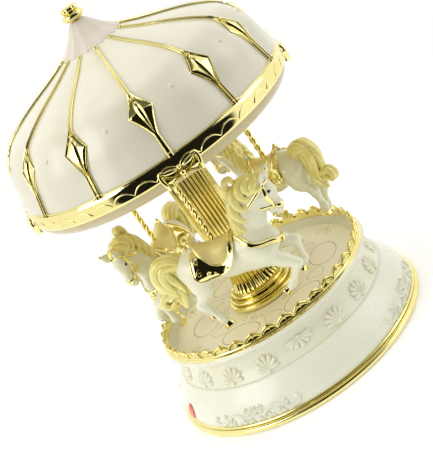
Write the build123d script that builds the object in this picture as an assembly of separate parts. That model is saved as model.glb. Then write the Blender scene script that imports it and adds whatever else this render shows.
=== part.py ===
from build123d import *

import os
from math import cos, hypot, pi, radians, sin

# A wind-up carousel music box, in millimetres. +Z is up and the origin is the centre of its foot, on the
# surface that it stands on. The canopy, the column and three hanging horses turn together on a fixed drum
# base. The base holds the movement: a spring barrel on the carousel's own axis, which also drives the
# pinned cylinder, the comb beside it, and a governor that keeps the speed even.
#
# The movement is drawn in its own frame, where the cylinder lies along -X, and then turned about Z.

# ---- driving dimensions ----
RIM_RADIUS = 60.0  # the canopy's rim
FOOT_RADIUS = 59.2
FOOT_INNER = 54.5
FOOT_TOP = 4.3
SKIRT_INNER = 52.5
COVER_BOTTOM = 1.2
COVER_TOP = 2.8
DECK_BOTTOM = 27.6
DECK_TOP = 29.2
DECK_RADIUS = 44.6
LEDGE_TOP = 32.4
CROWN_TOP = 37.3
CROWN_RADIUS = 47.6
CROWN_TEETH = 40
CEILING_BOTTOM = 106.8
CEILING_TOP = 108.6
BAND_BOTTOM = 112.0
BAND_TOP = 118.3
BAND_INNER = 57.5
DOME_TOP = 157.8
CAP_RADIUS = 12.0
CAP_TOP = 168.5
TOTAL_HEIGHT = 175.0
RIBS = 12
ORNAMENTS = 4
COLUMN_RADIUS = 9.3
COLUMN_BORE = 6.0
COLUMN_BOTTOM = 45.0

# ---- horses ----
HORSE_CIRCLE = 34.5  # radius at which the poles hang
FIRST_HORSE_AZIMUTH = -9.0  # from -Y toward +X, degrees
HORSE_TURNS = (-8.0, 14.0, 6.0)  # how far each horse is turned on its pole from straight along the circle
SADDLE_HEIGHTS = (72.3, 73.0, 67.4)
POLE_RADIUS = 1.25
POLE_INSERT = 6.0
POLE_TOP = 111.2

# ---- movement ----
MOVEMENT_TURN = 14.0  # degrees about Z
FIT = 0.05  # radial running clearance
SHAFT_RADIUS = 2.0
BEDPLATE_BOTTOM = 9.0
BEDPLATE_TOP = 10.4
BARREL_BOTTOM = 10.8
BARREL_TOP = 15.8
BARREL_RADIUS = 13.2
CROWN_WHEEL_TEETH = 24
CROWN_WHEEL_MEAN = 9.8
PINION_TEETH = 8
PINION_MODULE = 0.8
CYLINDER_AXIS_Z = 19.8
CYLINDER_RADIUS = 6.5
CYLINDER_INNER_X = -17.0
CYLINDER_LENGTH = 16.0
COMB_TEETH = 18
GEAR_MODULE = 0.44
CYLINDER_GEAR_TEETH = 30
GOVERNOR_PINION_TEETH = 8
WORM_WHEEL_TEETH = 20
GEAR_X = (-35.4, -34.2)
WHEEL_X = (-16.0, -14.6)
WORM_RADIUS = 1.5
FAN_BOTTOM = 24.8
FAN_TOP = 27.0
KEY_RECESS_RADIUS = 15.0
KEY_RECESS_TOP = 6.4
BUTTON_Z = 8.0
BUTTON_RADIUS = 3.2
BUTTON_TRAVEL = 1.5

GOVERNOR_Y = GEAR_MODULE * (CYLINDER_GEAR_TEETH + GOVERNOR_PINION_TEETH) / 2
WORM_X = sum(WHEEL_X) / 2
WORM_Y = GOVERNOR_Y + GEAR_MODULE * WORM_WHEEL_TEETH / 2 + WORM_RADIUS


# ---- general shapes ----
def disc(radius, bottom, top):
    """A plain disc or rod about Z."""
    return Pos(0, 0, (bottom + top) / 2) * Cylinder(radius, top - bottom)


def ring(outer, inner, bottom, top):
    """A plain ring about Z."""
    return disc(outer, bottom, top) - disc(inner, bottom, top)


def block(x, y, z):
    """A box from three (low, high) pairs."""
    centre = Pos(*(sum(pair) / 2 for pair in (x, y, z)))
    return centre * Box(*(high - low for low, high in (x, y, z)))


def rod_x(radius, x, y, z):
    """A rod along X between the two values of x."""
    low, high = x
    return Pos((low + high) / 2, y, z) * Rot(0, 90, 0) * Cylinder(radius, high - low)


def turned(*edges):
    """The solid that edges drawn as (radius, height) make when revolved about Z."""
    outline = Curve() + list(edges)
    return revolve(make_face((Plane.XZ * outline).edges()), Axis.Z)


def turned_polygon(*points):
    """The solid that a closed outline of (radius, height) points makes when revolved about Z."""
    return turned(*Polyline(*points, close=True).edges())


def around(shape, count, first=0.0):
    """Copies of a shape, evenly spaced about Z."""
    return [Rot(0, 0, first + 360 * i / count) * shape for i in range(count)]


def joined(shapes):
    """One shape from several that touch or overlap."""
    first, *rest = shapes
    return first.fuse(*rest) if rest else first


def placed(shape):
    """A piece of the movement, turned into its place."""
    return Rot(0, 0, MOVEMENT_TURN) * shape


def limb(points, radii):
    """A rounded, tapering run of flesh through points: balls joined by cones."""
    pieces = [Pos(*point) * Sphere(radius) for point, radius in zip(points, radii)]
    for start, end, r_start, r_end in zip(points, points[1:], radii, radii[1:]):
        way = Vector(*end) - Vector(*start)
        if abs(r_start - r_end) < 0.01:
            r_end = r_start + 0.01
        middle = Plane(origin=start, z_dir=way) * Pos(0, 0, way.length / 2)
        pieces.append(middle * Cone(r_start, r_end, way.length))
    return joined(pieces)


def gear(teeth, module, x, y, z, phase=0.0, thickness=0.36):
    """A spur gear about an axis along X, with slim straight teeth. A tooth points at phase degrees."""
    pitch_radius = module * teeth / 2
    root, tip = pitch_radius - 1.05 * module, pitch_radius + 0.8 * module
    half_root = 1.25 * thickness * pi / teeth
    half_tip = 0.55 * thickness * pi / teeth
    points = []
    for i in range(teeth):
        centre = radians(phase) + 2 * pi * i / teeth
        for radius, angle in ((root, -half_root), (tip, -half_tip), (tip, half_tip), (root, half_root)):
            points.append((radius * cos(centre + angle), radius * sin(centre + angle)))
    low, high = x
    plane = Plane(origin=(low, y, z), x_dir=(0, 1, 0), z_dir=(1, 0, 0))
    return extrude(plane * make_face(Polyline(*points, close=True).edges()), high - low)


# ---- base ----
def foot_ring():
    """The gilt ring that the box stands on: a large bead, a groove and a small bead."""
    return turned(
        Line((FOOT_INNER, 0), (FOOT_RADIUS - 0.6, 0)),
        ThreePointArc((FOOT_RADIUS - 0.6, 0), (FOOT_RADIUS, 1.4), (FOOT_RADIUS - 0.8, 2.8)),
        Line((FOOT_RADIUS - 0.8, 2.8), (FOOT_RADIUS - 1.2, 3.0)),
        ThreePointArc((FOOT_RADIUS - 1.2, 3.0), (FOOT_RADIUS - 1.1, 3.7), (FOOT_RADIUS - 1.9, FOOT_TOP)),
        Line((FOOT_RADIUS - 1.9, FOOT_TOP), (FOOT_INNER, FOOT_TOP)),
        Line((FOOT_INNER, FOOT_TOP), (FOOT_INNER, 0)),
    )


def base_shell():
    """The moulded drum: a bulging foot, a hollow cove and a lip that carries the gallery and the deck."""
    foot_start = (FOOT_RADIUS - 1.9, FOOT_TOP)
    foot_end = (50.9, 17.3)
    cove_start = (49.8, 18.0)
    lip_start = (48.6, 30.2)
    lip_end = (49.6, LEDGE_TOP)
    inside = (
        lip_end,
        (46.2, LEDGE_TOP),
        (45.6, 30.6),
        (DECK_RADIUS, DECK_TOP),
        (DECK_RADIUS, DECK_BOTTOM),
        (42.4, DECK_BOTTOM),
        (42.4, 25.8),
        (44.4, 22.4),
        (47.4, 18.4),
        (50.2, 14.5),
        (52.2, 10.5),
        (SKIRT_INNER, 8.0),
        (SKIRT_INNER, COVER_BOTTOM),
        (FOOT_INNER, COVER_BOTTOM),
        (FOOT_INNER, FOOT_TOP),
        foot_start,
    )
    shell = turned(
        Spline(foot_start, (56.8, 7.5), (54.6, 12.0), foot_end),
        Line(foot_end, cove_start),
        Spline(cove_start, (47.3, 22.5), (46.3, 26.0), (46.9, 28.7), lip_start),
        ThreePointArc(lip_start, (50.1, 31.2), lip_end),
        *Polyline(*inside).edges(),
    )
    boss = Pos(48.6, 0, 0) * disc(3.2, COVER_TOP, 14.0)
    shell = shell.fuse(*around(boss, 3, 60))
    screw_hole = Pos(48.6, 0, 0) * disc(1.0, COVER_TOP, 10.0)
    button_hole = placed(rod_x(BUTTON_RADIUS + 0.1, (-60, -50), 0, BUTTON_Z))
    return shell.cut(button_hole, *around(screw_hole, 3, 60))


def bottom_cover():
    """The cover under the base, with the key's recess, the movement's posts and the button's guide."""
    cup = ring(KEY_RECESS_RADIUS + 1.4, KEY_RECESS_RADIUS, COVER_BOTTOM, KEY_RECESS_TOP + 1.0)
    roof = disc(KEY_RECESS_RADIUS + 1.4, KEY_RECESS_TOP, KEY_RECESS_TOP + 1.0)
    posts = [Pos(x, y, 0) * disc(2.5, COVER_TOP, BEDPLATE_BOTTOM) for x, y in BEDPLATE_SCREWS]
    guide = block((-47.5, -46.0), (-4.0, 4.0), (COVER_TOP, 12.0))
    plate = ring(SKIRT_INNER - 0.2, KEY_RECESS_RADIUS, COVER_BOTTOM, COVER_TOP)
    cover = joined([plate, cup, roof, *(placed(piece) for piece in (*posts, guide))])
    holes = [
        disc(SHAFT_RADIUS + FIT, KEY_RECESS_TOP - 1, KEY_RECESS_TOP + 2),
        placed(rod_x(2.2 + FIT, (-49, -45), 0, BUTTON_Z)),
        *around(Pos(48.6, 0, 0) * disc(1.15, 0, COVER_TOP + 1), 3, 60),
        *(placed(Pos(x, y, 0) * disc(0.9, 5.0, BEDPLATE_BOTTOM)) for x, y in BEDPLATE_SCREWS),
    ]
    return cover.cut(*holes)


def pan_screw(head_radius, head, shank_radius, shank):
    """A screw about Z with a slotted head; head and shank are (bottom, top) pairs."""
    screw = disc(head_radius, *head) + disc(shank_radius, *shank)
    outer_face = head[0] if head[0] < shank[0] else head[1]
    return screw - Pos(0, 0, outer_face) * Box(3 * head_radius, 0.5, 0.7)


def cover_screws():
    """The three screws that hold the bottom cover."""
    screw = Pos(48.6, 0, 0) * pan_screw(2.2, (0.2, COVER_BOTTOM), 1.0, (COVER_BOTTOM, 10.0))
    return Compound(around(screw, 3, 60))


def deck():
    """The round floor under the horses."""
    return ring(DECK_RADIUS, 4.0, DECK_BOTTOM, DECK_TOP)


def deck_bushing():
    """The brass bearing of the drive shaft, pressed into the deck from below."""
    tube = ring(4.0, SHAFT_RADIUS + FIT, DECK_BOTTOM - 0.6, DECK_TOP)
    return tube + ring(5.5, SHAFT_RADIUS + FIT, DECK_BOTTOM - 0.6, DECK_BOTTOM)


def thrust_washer():
    """The nylon washer that the column turns on."""
    return ring(6.0, SHAFT_RADIUS + 0.15, DECK_TOP, DECK_TOP + 0.4)


def crown_gallery():
    """The gilt gallery round the deck: a ring with pointed leaves."""
    leaf_pitch = 2 * pi * CROWN_RADIUS / CROWN_TEETH
    valley = LEDGE_TOP + 1.7
    wall = ring(CROWN_RADIUS, CROWN_RADIUS - 0.9, LEDGE_TOP, CROWN_TOP)
    leaf_top = CROWN_TOP + 0.1
    notch_points = (
        (0, valley),
        (leaf_pitch * 0.12, valley + 0.9),
        (leaf_pitch * 0.3, valley + 1.9),
        (leaf_pitch * 0.42, valley + 2.2),
        (leaf_pitch / 2, leaf_top),
    )
    mirrored = [(-x, z) for x, z in notch_points[:0:-1]]
    notch = make_face(Polyline(*mirrored, *notch_points, close=True).edges())
    notch = extrude(Plane.XZ * notch, CROWN_RADIUS + 2) - disc(CROWN_RADIUS - 3, 0, CROWN_TOP + 1)
    foot = ring(CROWN_RADIUS + 0.6, CROWN_RADIUS - 0.9, LEDGE_TOP, LEDGE_TOP + 0.9)
    return wall.cut(*around(notch, CROWN_TEETH)) + foot


# ---- movement ----
BEDPLATE_SCREWS = ((-37.5, -18.0), (-37.5, 16.5), (12.5, -18.0), (12.5, 16.5))


def bedplate():
    """The cast plate that carries the movement: cylinder bearings and the comb's pedestal stand on it."""
    plate = block((-41, 16), (-22, 20), (BEDPLATE_BOTTOM, BEDPLATE_TOP))
    inner_post = block((-15.6, -14.0), (-2.5, 2.5), (BEDPLATE_TOP, CYLINDER_AXIS_Z + 2.2))
    outer_post = block((-37.9, -36.5), (-2.5, 2.5), (BEDPLATE_TOP, CYLINDER_AXIS_Z + 2.2))
    pedestal = block((-34, -16), (-21.5, -16), (BEDPLATE_TOP, CYLINDER_AXIS_Z - 0.6))
    plate = joined([plate, inner_post, outer_post, pedestal])
    holes = [
        disc(SHAFT_RADIUS + FIT, BEDPLATE_BOTTOM - 1, BEDPLATE_TOP + 1),
        rod_x(1.0 + FIT, (-39, -13), 0, CYLINDER_AXIS_Z),
        Pos(WORM_X, WORM_Y, 0) * disc(0.6 + FIT, BEDPLATE_TOP - 0.8, BEDPLATE_TOP + 1),
        *(Pos(x, y, 0) * disc(1.0, BEDPLATE_BOTTOM - 1, BEDPLATE_TOP + 1) for x, y in BEDPLATE_SCREWS),
        *(Pos(x, COMB_SCREW_Y, 0) * disc(0.8, 15.0, CYLINDER_AXIS_Z) for x in COMB_SCREW_X),
    ]
    return placed(plate.cut(*holes))


def bedplate_screws():
    """The four screws that hold the bedplate on the cover's posts."""
    screw = pan_screw(1.8, (BEDPLATE_TOP, BEDPLATE_TOP + 1.1), 0.9, (5.0, BEDPLATE_TOP))
    return Compound([placed(Pos(x, y, 0) * screw) for x, y in BEDPLATE_SCREWS])


def winding_key():
    """The wing key under the base."""
    hub = disc(3.4, 0.8, 5.6)
    wing = block((0, 8.5), (-1.0, 1.0), (1.0, 5.4)) + Pos(8.5, 0, 0) * disc(1.0, 1.0, 5.4)
    return joined([hub, *around(wing, 2, MOVEMENT_TURN)]) - disc(SHAFT_RADIUS, 1.6, 6.0)


def winding_arbor():
    """The arbor that the key turns, with the hook for the mainspring's inner end."""
    hook = block((1.5, 2.6), (-0.4, 0.4), (12.4, 14.4))
    return disc(SHAFT_RADIUS, 1.6, BARREL_TOP - 0.8) + hook


def clutch_spring():
    """The coil that lets the arbor turn one way only, wound round it under the bedplate."""
    wire = 0.2
    coil_radius = SHAFT_RADIUS + FIT + wire
    path = Pos(0, 0, KEY_RECESS_TOP + 1.25) * Helix(pitch=0.42, height=1.05, radius=coil_radius)
    return sweep(Plane(origin=path @ 0, z_dir=path % 0) * Circle(wire), path=path)


def spring_barrel():
    """The cup that holds the mainspring and turns with the carousel."""
    lid_bottom = BARREL_TOP - 0.6
    cup = disc(BARREL_RADIUS, BARREL_BOTTOM, lid_bottom)
    cup -= disc(BARREL_RADIUS - 0.8, BARREL_BOTTOM + 0.6, lid_bottom)
    return cup - disc(SHAFT_RADIUS + FIT, BARREL_BOTTOM - 1, BARREL_BOTTOM + 1)


def mainspring():
    """A flat spring wound in a spiral inside the barrel."""
    turns, steps, thickness = 7, 16, 0.35
    inner, outer = 3.2, BARREL_RADIUS - 0.8
    growth = (outer - thickness - inner) / (turns * steps)

    def spiral(offset):
        return [
            Vector(inner + offset + growth * i, 0).rotate(Axis.Z, 360 * i / steps)
            for i in range(turns * steps + 1)
        ]

    outline = Polyline(*spiral(0.0), *reversed(spiral(thickness)), close=True)
    face = make_face(outline.edges())
    return Pos(0, 0, BARREL_BOTTOM + 0.9) * extrude(face, 3.4)


def crown_wheel():
    """The barrel's lid, with teeth on its upper face that turn the cylinder."""
    lid = ring(BARREL_RADIUS, SHAFT_RADIUS, BARREL_TOP - 0.6, BARREL_TOP)
    lid += ring(4.0, SHAFT_RADIUS, BARREL_TOP, BARREL_TOP + 2.4)
    root, tip, length, height = 0.9, 0.5, 2.4, 1.2
    outline = Polyline((-root / 2, 0), (root / 2, 0), (tip / 2, height), (-tip / 2, height), close=True)
    start = Plane(origin=(CROWN_WHEEL_MEAN - length / 2, 0, BARREL_TOP), x_dir=(0, 1, 0), z_dir=(1, 0, 0))
    tooth = extrude(start * make_face(outline.edges()), length)
    half_pitch = 180 / CROWN_WHEEL_TEETH
    return placed(joined([lid, *around(tooth, CROWN_WHEEL_TEETH, half_pitch)]))


def drive_shaft():
    """The steel shaft from the barrel's lid up into the column."""
    return disc(SHAFT_RADIUS, BARREL_TOP - 0.6, 60.0)


def cylinder():
    """The pinned cylinder on its arbor, with the pinion on the inner end and the gear on the outer end."""
    outer_x = CYLINDER_INNER_X - CYLINDER_LENGTH
    drum = rod_x(CYLINDER_RADIUS, (outer_x, CYLINDER_INNER_X), 0, CYLINDER_AXIS_Z)
    arbor = rod_x(1.0, (-38.4, -8.0), 0, CYLINDER_AXIS_Z)
    pinion_x = (-CROWN_WHEEL_MEAN - 1.3, -CROWN_WHEEL_MEAN + 1.3)
    pinion = gear(PINION_TEETH, PINION_MODULE, pinion_x, 0, CYLINDER_AXIS_Z, -90)
    wheel = gear(CYLINDER_GEAR_TEETH, GEAR_MODULE, GEAR_X, 0, CYLINDER_AXIS_Z)
    boss = rod_x(2.4, (GEAR_X[1], outer_x), 0, CYLINDER_AXIS_Z)
    pins = []
    for track in range(COMB_TEETH):
        x = outer_x + CYLINDER_LENGTH * (track + 0.5) / COMB_TEETH
        for note in range(4):
            angle = 90 * note + 50 * track % 90
            pin = Pos(0, 0, CYLINDER_RADIUS) * Box(0.25, 0.25, 0.8)
            pins.append(Pos(x, 0, CYLINDER_AXIS_Z) * Rot(angle, 0, 0) * pin)
    return placed(joined([drum, arbor, pinion, wheel, boss, *pins]))


COMB_SCREW_X = (-31.0, -25.0, -19.0)
COMB_SCREW_Y = -18.75
COMB_BOTTOM = CYLINDER_AXIS_Z - 0.6
COMB_THICKNESS = 1.2


def comb():
    """The steel comb: eighteen teeth, sounding over the cylinder."""
    x_low = CYLINDER_INNER_X - CYLINDER_LENGTH
    tip_y = -CYLINDER_RADIUS - 0.7
    plate = block((x_low, CYLINDER_INNER_X), (-21.5, tip_y), (COMB_BOTTOM, COMB_BOTTOM + COMB_THICKNESS))
    pitch = CYLINDER_LENGTH / COMB_TEETH
    slots = [
        block(
            (x_low + pitch * i - 0.14, x_low + pitch * i + 0.14),
            (-16.5, tip_y + 1),
            (COMB_BOTTOM - 1, COMB_BOTTOM + 2),
        )
        for i in range(1, COMB_TEETH)
    ]
    holes = [Pos(x, COMB_SCREW_Y, 0) * disc(0.8, COMB_BOTTOM - 1, COMB_BOTTOM + 2) for x in COMB_SCREW_X]
    return placed(plate.cut(*slots, *holes))


def comb_screws():
    """The three screws that hold the comb on its pedestal."""
    top = COMB_BOTTOM + COMB_THICKNESS
    screw = pan_screw(1.6, (top, top + 1.0), 0.8, (15.0, top))
    return Compound([placed(Pos(x, COMB_SCREW_Y, 0) * screw) for x in COMB_SCREW_X])


def governor_bracket():
    """The bearings of the governor's arbor and of the worm, on one foot."""
    post_y = (GOVERNOR_Y - 1.4, GOVERNOR_Y + 1.4)
    inner = block((-13.2, -12.0), post_y, (BEDPLATE_TOP, CYLINDER_AXIS_Z + 1.8))
    outer = block((-37.9, -36.7), post_y, (BEDPLATE_TOP, CYLINDER_AXIS_Z + 1.8))
    foot = block((-37.9, -12.0), post_y, (BEDPLATE_TOP, BEDPLATE_TOP + 0.8))
    worm_foot = block((WORM_X - 1.3, WORM_X + 1.3), (GOVERNOR_Y, 18.8), (BEDPLATE_TOP, BEDPLATE_TOP + 0.8))
    worm_post = block((WORM_X - 1.3, WORM_X + 1.3), (17.0, 18.8), (BEDPLATE_TOP, FAN_BOTTOM - 1.2))
    arm = block((WORM_X - 1.3, WORM_X + 1.3), (WORM_Y - 1.0, 18.8), (FAN_BOTTOM - 2.0, FAN_BOTTOM - 1.2))
    bracket = joined([inner, outer, foot, worm_foot, worm_post, arm])
    arbor_hole = rod_x(0.8 + FIT, (-39, -11), GOVERNOR_Y, CYLINDER_AXIS_Z)
    worm_hole = Pos(WORM_X, WORM_Y, 0) * disc(0.6 + FIT, BEDPLATE_TOP - 1, FAN_BOTTOM)
    return placed(bracket.cut(arbor_hole, worm_hole))


def governor():
    """The governor's arbor, with the pinion that the cylinder turns and the wheel that turns the worm."""
    arbor = rod_x(0.8, (-38.2, -11.8), GOVERNOR_Y, CYLINDER_AXIS_Z)
    pinion = gear(GOVERNOR_PINION_TEETH, GEAR_MODULE, GEAR_X, GOVERNOR_Y, CYLINDER_AXIS_Z, 180 / 8)
    wheel = gear(WORM_WHEEL_TEETH, GEAR_MODULE, WHEEL_X, GOVERNOR_Y, CYLINDER_AXIS_Z, thickness=0.3)
    return placed(joined([arbor, pinion, wheel]))


def worm_fan():
    """The worm and the two-bladed air brake above it."""
    lead = pi * GEAR_MODULE
    core_radius = WORM_RADIUS - 0.4
    core = disc(core_radius, CYLINDER_AXIS_Z - 2.9, CYLINDER_AXIS_Z + 2.9)
    spindle = disc(0.6, BEDPLATE_TOP - 0.8, FAN_TOP)
    # beside the wheel the thread passes half a lead above and below the tooth at the arbor's height
    turns = 3
    start_z = CYLINDER_AXIS_Z - turns * lead / 2
    path = Pos(0, 0, start_z) * Helix(pitch=lead, height=turns * lead, radius=core_radius)
    outline = Polyline((-0.1, -0.3), (0.7, -0.12), (0.7, 0.12), (-0.1, 0.3), close=True)
    start = Plane(origin=(core_radius, 0, start_z), x_dir=(1, 0, 0), z_dir=(0, -1, 0))
    thread = sweep(start * make_face(outline.edges()), path=path, is_frenet=True)
    hub = disc(1.1, FAN_BOTTOM, FAN_TOP)
    blades = block((-6.0, 6.0), (-0.15, 0.15), (FAN_BOTTOM, FAN_TOP))
    fan = joined([core, spindle, thread, hub, blades])
    return placed(Pos(WORM_X, WORM_Y, 0) * Rot(0, 0, -90) * fan)


def stop_button():
    """The button in the side of the base: pressed in, its finger holds the cylinder's gear."""
    cap = rod_x(BUTTON_RADIUS, (-57.8, -50.4), 0, BUTTON_Z)
    dome = Pos(-57.8, 0, BUTTON_Z) * Rot(0, -90, 0) * Cone(BUTTON_RADIUS, BUTTON_RADIUS - 0.7, 0.6)
    flange = rod_x(4.2, (-50.8, -50.0), 0, BUTTON_Z)
    stem = rod_x(2.2, (-50.4, -44.0), 0, BUTTON_Z)
    web = block((-44.8, -43.4), (-4.8, 2.5), (BUTTON_Z - 2.5, 18.1))
    finger_tip = GEAR_X[0] - 0.02 - BUTTON_TRAVEL
    finger = block((-43.4, finger_tip), (-4.8, -3.2), (16.5, 18.1))
    return placed(joined([cap, Pos(-0.3, 0, 0) * dome, flange, stem, web, finger]))


def stop_spring():
    """The button's return spring, drawn at its pressed length against the guide."""
    wire = 0.2
    path = Helix(pitch=0.42, height=0.45, radius=2.9)
    coil = sweep(Plane(origin=path @ 0, z_dir=path % 0) * Circle(wire), path=path)
    return placed(Pos(-47.5 - wire - 0.02, 0, BUTTON_Z) * Rot(0, -90, 0) * coil)


# ---- column and canopy ----
def column_base():
    """The stepped rings and the bell at the foot of the column."""
    bottom = DECK_TOP + 0.4 + FIT
    outline = (
        (SHAFT_RADIUS, bottom),
        (15.8, bottom),
        (16.0, 31.2),
        (15.4, 31.8),
        (14.4, 32.0),
        (14.9, 32.8),
        (14.5, 33.7),
        (13.1, 34.0),
        (12.6, 34.3),
        (13.1, 35.1),
        (12.6, 36.0),
        (11.2, 36.3),
        (10.4, 37.8),
        (9.6, 40.6),
        (COLUMN_RADIUS, COLUMN_BOTTOM),
        (SHAFT_RADIUS, COLUMN_BOTTOM),
    )
    return turned_polygon(*outline)


def column_shaft():
    """The fluted column, bored for the drive shaft below and hollow above it."""
    flutes = 28
    shaft = disc(COLUMN_RADIUS, COLUMN_BOTTOM, CEILING_BOTTOM)
    groove = Pos(COLUMN_RADIUS + 0.25, 0, 0) * disc(0.8, COLUMN_BOTTOM + 2, CEILING_BOTTOM - 4)
    shaft = shaft.cut(*around(groove, flutes))
    shaft += disc(COLUMN_BORE, CEILING_BOTTOM, CEILING_TOP)
    shaft -= disc(SHAFT_RADIUS, COLUMN_BOTTOM, 60.0)
    return shaft - disc(COLUMN_BORE - 1.6, 62.0, CEILING_TOP)


def canopy_ceiling():
    """The canopy's floor with its rounded skirt; the column and the poles hang from it."""
    skirt_start, skirt_end = (57.3, 107.6), (RIM_RADIUS, BAND_BOTTOM)
    rest = (
        skirt_end,
        (BAND_INNER, BAND_BOTTOM),
        (BAND_INNER - 1.2, 109.2),
        (BAND_INNER - 2.2, CEILING_TOP),
        (COLUMN_BORE, CEILING_TOP),
        (COLUMN_BORE, CEILING_BOTTOM),
        (55.2, CEILING_BOTTOM),
        skirt_start,
    )
    tray = turned(Spline(skirt_start, (59.1, 109.6), skirt_end), *Polyline(*rest).edges())
    holes = [Pos(*horse_place(i), 0) * disc(POLE_RADIUS, CEILING_BOTTOM - 1, CEILING_TOP + 1) for i in range(3)]
    return tray.cut(*holes)


def rim_band():
    """The rounded gilt band round the canopy."""
    band_middle = (BAND_BOTTOM + BAND_TOP) / 2
    return turned(
        Line((BAND_INNER, BAND_BOTTOM), (RIM_RADIUS + 0.1, BAND_BOTTOM)),
        ThreePointArc((RIM_RADIUS + 0.1, BAND_BOTTOM), (RIM_RADIUS + 1.0, band_middle), (RIM_RADIUS + 0.1, BAND_TOP)),
        Line((RIM_RADIUS + 0.1, BAND_TOP), (BAND_INNER, BAND_TOP)),
        Line((BAND_INNER, BAND_TOP), (BAND_INNER, BAND_BOTTOM)),
    )


def rim_ornaments():
    """Four pairs of scrolls on the rim, one at each quarter."""
    inner, outer = RIM_RADIUS - 3.0, RIM_RADIUS + 2.8
    middle = (108.0 + 116.2) / 2
    scroll = Pos(0, 4.9, middle) * Rot(0, 90, 0) * Cylinder(3.6, outer - inner)
    eye = Pos(0.3, 4.9, middle) * Rot(0, 90, 0) * Cylinder(1.3, outer - inner)
    bridge = Box(outer - inner, 9.8, 2.4)
    bead = Pos(0, 0, middle - 2.8) * Rot(0, 90, 0) * Cylinder(1.6, outer - inner)
    pair = joined([scroll, eye, mirror(scroll, Plane.XZ), mirror(eye, Plane.XZ), Pos(0, 0, middle + 1.6) * bridge, bead])
    pair = Pos((inner + outer) / 2, 0, 0) * pair
    rim = rim_band() + canopy_ceiling() + disc(RIM_RADIUS - 0.5, 100.0, BAND_TOP)
    return Compound([solid for piece in around(pair, ORNAMENTS) for solid in piece.cut(rim).solids()])


# the dome's outline from the band to the cap, as (radius, height)
DOME_OUTLINE = (
    (RIM_RADIUS, BAND_TOP),
    (57.8, 126.0),
    (55.4, 134.0),
    (50.2, 142.0),
    (44.0, 146.0),
    (34.6, 150.0),
    (22.3, 154.2),
    (13.2, DOME_TOP),
)


def dome_curve(offset):
    """The dome's outline as a smooth curve, moved outward by the offset."""
    moved = []
    last = len(DOME_OUTLINE) - 1
    for i, (radius, height) in enumerate(DOME_OUTLINE):
        (r0, z0), (r1, z1) = DOME_OUTLINE[max(i - 1, 0)], DOME_OUTLINE[min(i + 1, last)]
        run = hypot(r1 - r0, z1 - z0)
        nr, nz = (1.0, 0.0) if i == 0 else ((z1 - z0) / run, (r0 - r1) / run)
        moved.append((radius + offset * nr, height + offset * nz))
    return Spline(*moved)


def dome_skin(inner, outer):
    """The solid between two offsets of the dome's outline."""
    low, high = dome_curve(inner), dome_curve(outer)
    return turned(low, high, Line(low @ 0, high @ 0), Line(low @ 1, high @ 1))


def canopy_dome():
    """The onion-shaped roof, a moulded shell that is open under the cap."""
    return dome_skin(-2.0, 0.0)


def canopy_cap():
    """The cone on top of the dome, with a plug that closes the shell."""
    plug = disc(CAP_RADIUS - 0.6, DOME_TOP - 2.2, DOME_TOP)
    return plug + turned(
        Line((0, DOME_TOP), (CAP_RADIUS, DOME_TOP)),
        Spline((CAP_RADIUS, DOME_TOP), (8.3, 162.0), (5.0, 166.0), (2.7, CAP_TOP)),
        Line((2.7, CAP_TOP), (0, CAP_TOP)),
        Line((0, CAP_TOP), (0, DOME_TOP)),
    )


def finial():
    """The gilt knob at the very top: two lobes on a short neck."""
    return turned(
        Line((0, CAP_TOP), (2.0, CAP_TOP)),
        Line((2.0, CAP_TOP), (2.0, 169.0)),
        ThreePointArc((2.0, 169.0), (4.6, 170.7), (2.8, 172.4)),
        Spline((2.8, 172.4), (3.7, 173.4), (2.8, 174.5), (0, TOTAL_HEIGHT), tangents=((1, 0.2), (-1, 0))),
        Line((0, TOTAL_HEIGHT), (0, CAP_TOP)),
    )


def canopy_ribs():
    """The gilt mounts on the dome: twelve ribs, each with a lozenge, that end at the cap's edge."""
    plan = Polyline((-0.5, -11), (-1.25, -62), (1.25, -62), (0.5, -11), close=True)
    wedge = Pos(0, 0, BAND_TOP - 1) * extrude(make_face(plan.edges()), 50)
    shape = Polyline((0, 127.3), (5.0, 137.0), (0, 143.8), (-5.0, 137.0), close=True)
    lozenge = extrude(Plane.XZ * make_face(shape.edges()), 62) - disc(40, 100, 160)
    rib = joined([dome_skin(0.0, 0.8) & wedge, dome_skin(0.0, 1.5) & lozenge])
    return Compound([piece.solids()[0] for piece in around(rib, RIBS)])


def pearl_studs():
    """Twelve pearls, one on each panel between the ribs."""
    height = 137.0
    pearl = Pos(54.0, 0, height) * Sphere(1.2)
    dome_solid = dome_skin(-3.0, 0.0)
    return Compound([(piece - dome_solid).solids().sort_by(Axis.Z)[-1] for piece in around(pearl, RIBS, -75)])


# ---- horses ----
def horse_azimuth(index):
    return FIRST_HORSE_AZIMUTH + 120 * index


def horse_place(index):
    """The place of a pole, as x and y."""
    azimuth = radians(horse_azimuth(index))
    return HORSE_CIRCLE * sin(azimuth), -HORSE_CIRCLE * cos(azimuth)


def on_horse(index, shape):
    """A shape from the horse's frame, at its place: there x is forward and the pole is at the origin."""
    heading = horse_azimuth(index) + HORSE_TURNS[index]
    return Pos(*horse_place(index), SADDLE_HEIGHTS[index]) * Rot(0, 0, heading) * shape


# the trunk's sections: x, centre height, half height, half width
TRUNK = (
    (-19.5, -4.6, 3.6, 3.0),
    (-16.0, -4.6, 6.7, 5.2),
    (-9.0, -6.0, 8.0, 5.9),
    (0.0, -8.0, 8.2, 6.0),
    (8.0, -9.8, 9.0, 6.2),
    (15.0, -9.5, 9.0, 5.8),
    (20.0, -9.0, 6.8, 4.6),
    (23.0, -9.0, 3.4, 2.6),
)


def trunk(swell=0.0):
    """The horse's trunk, or one swollen all round by a little."""
    sections = [
        Plane(origin=(x, 0, z), x_dir=(0, 1, 0), z_dir=(1, 0, 0)) * Ellipse(half_width + swell, half_height + swell)
        for x, z, half_height, half_width in TRUNK
    ]
    return loft(sections)


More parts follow.
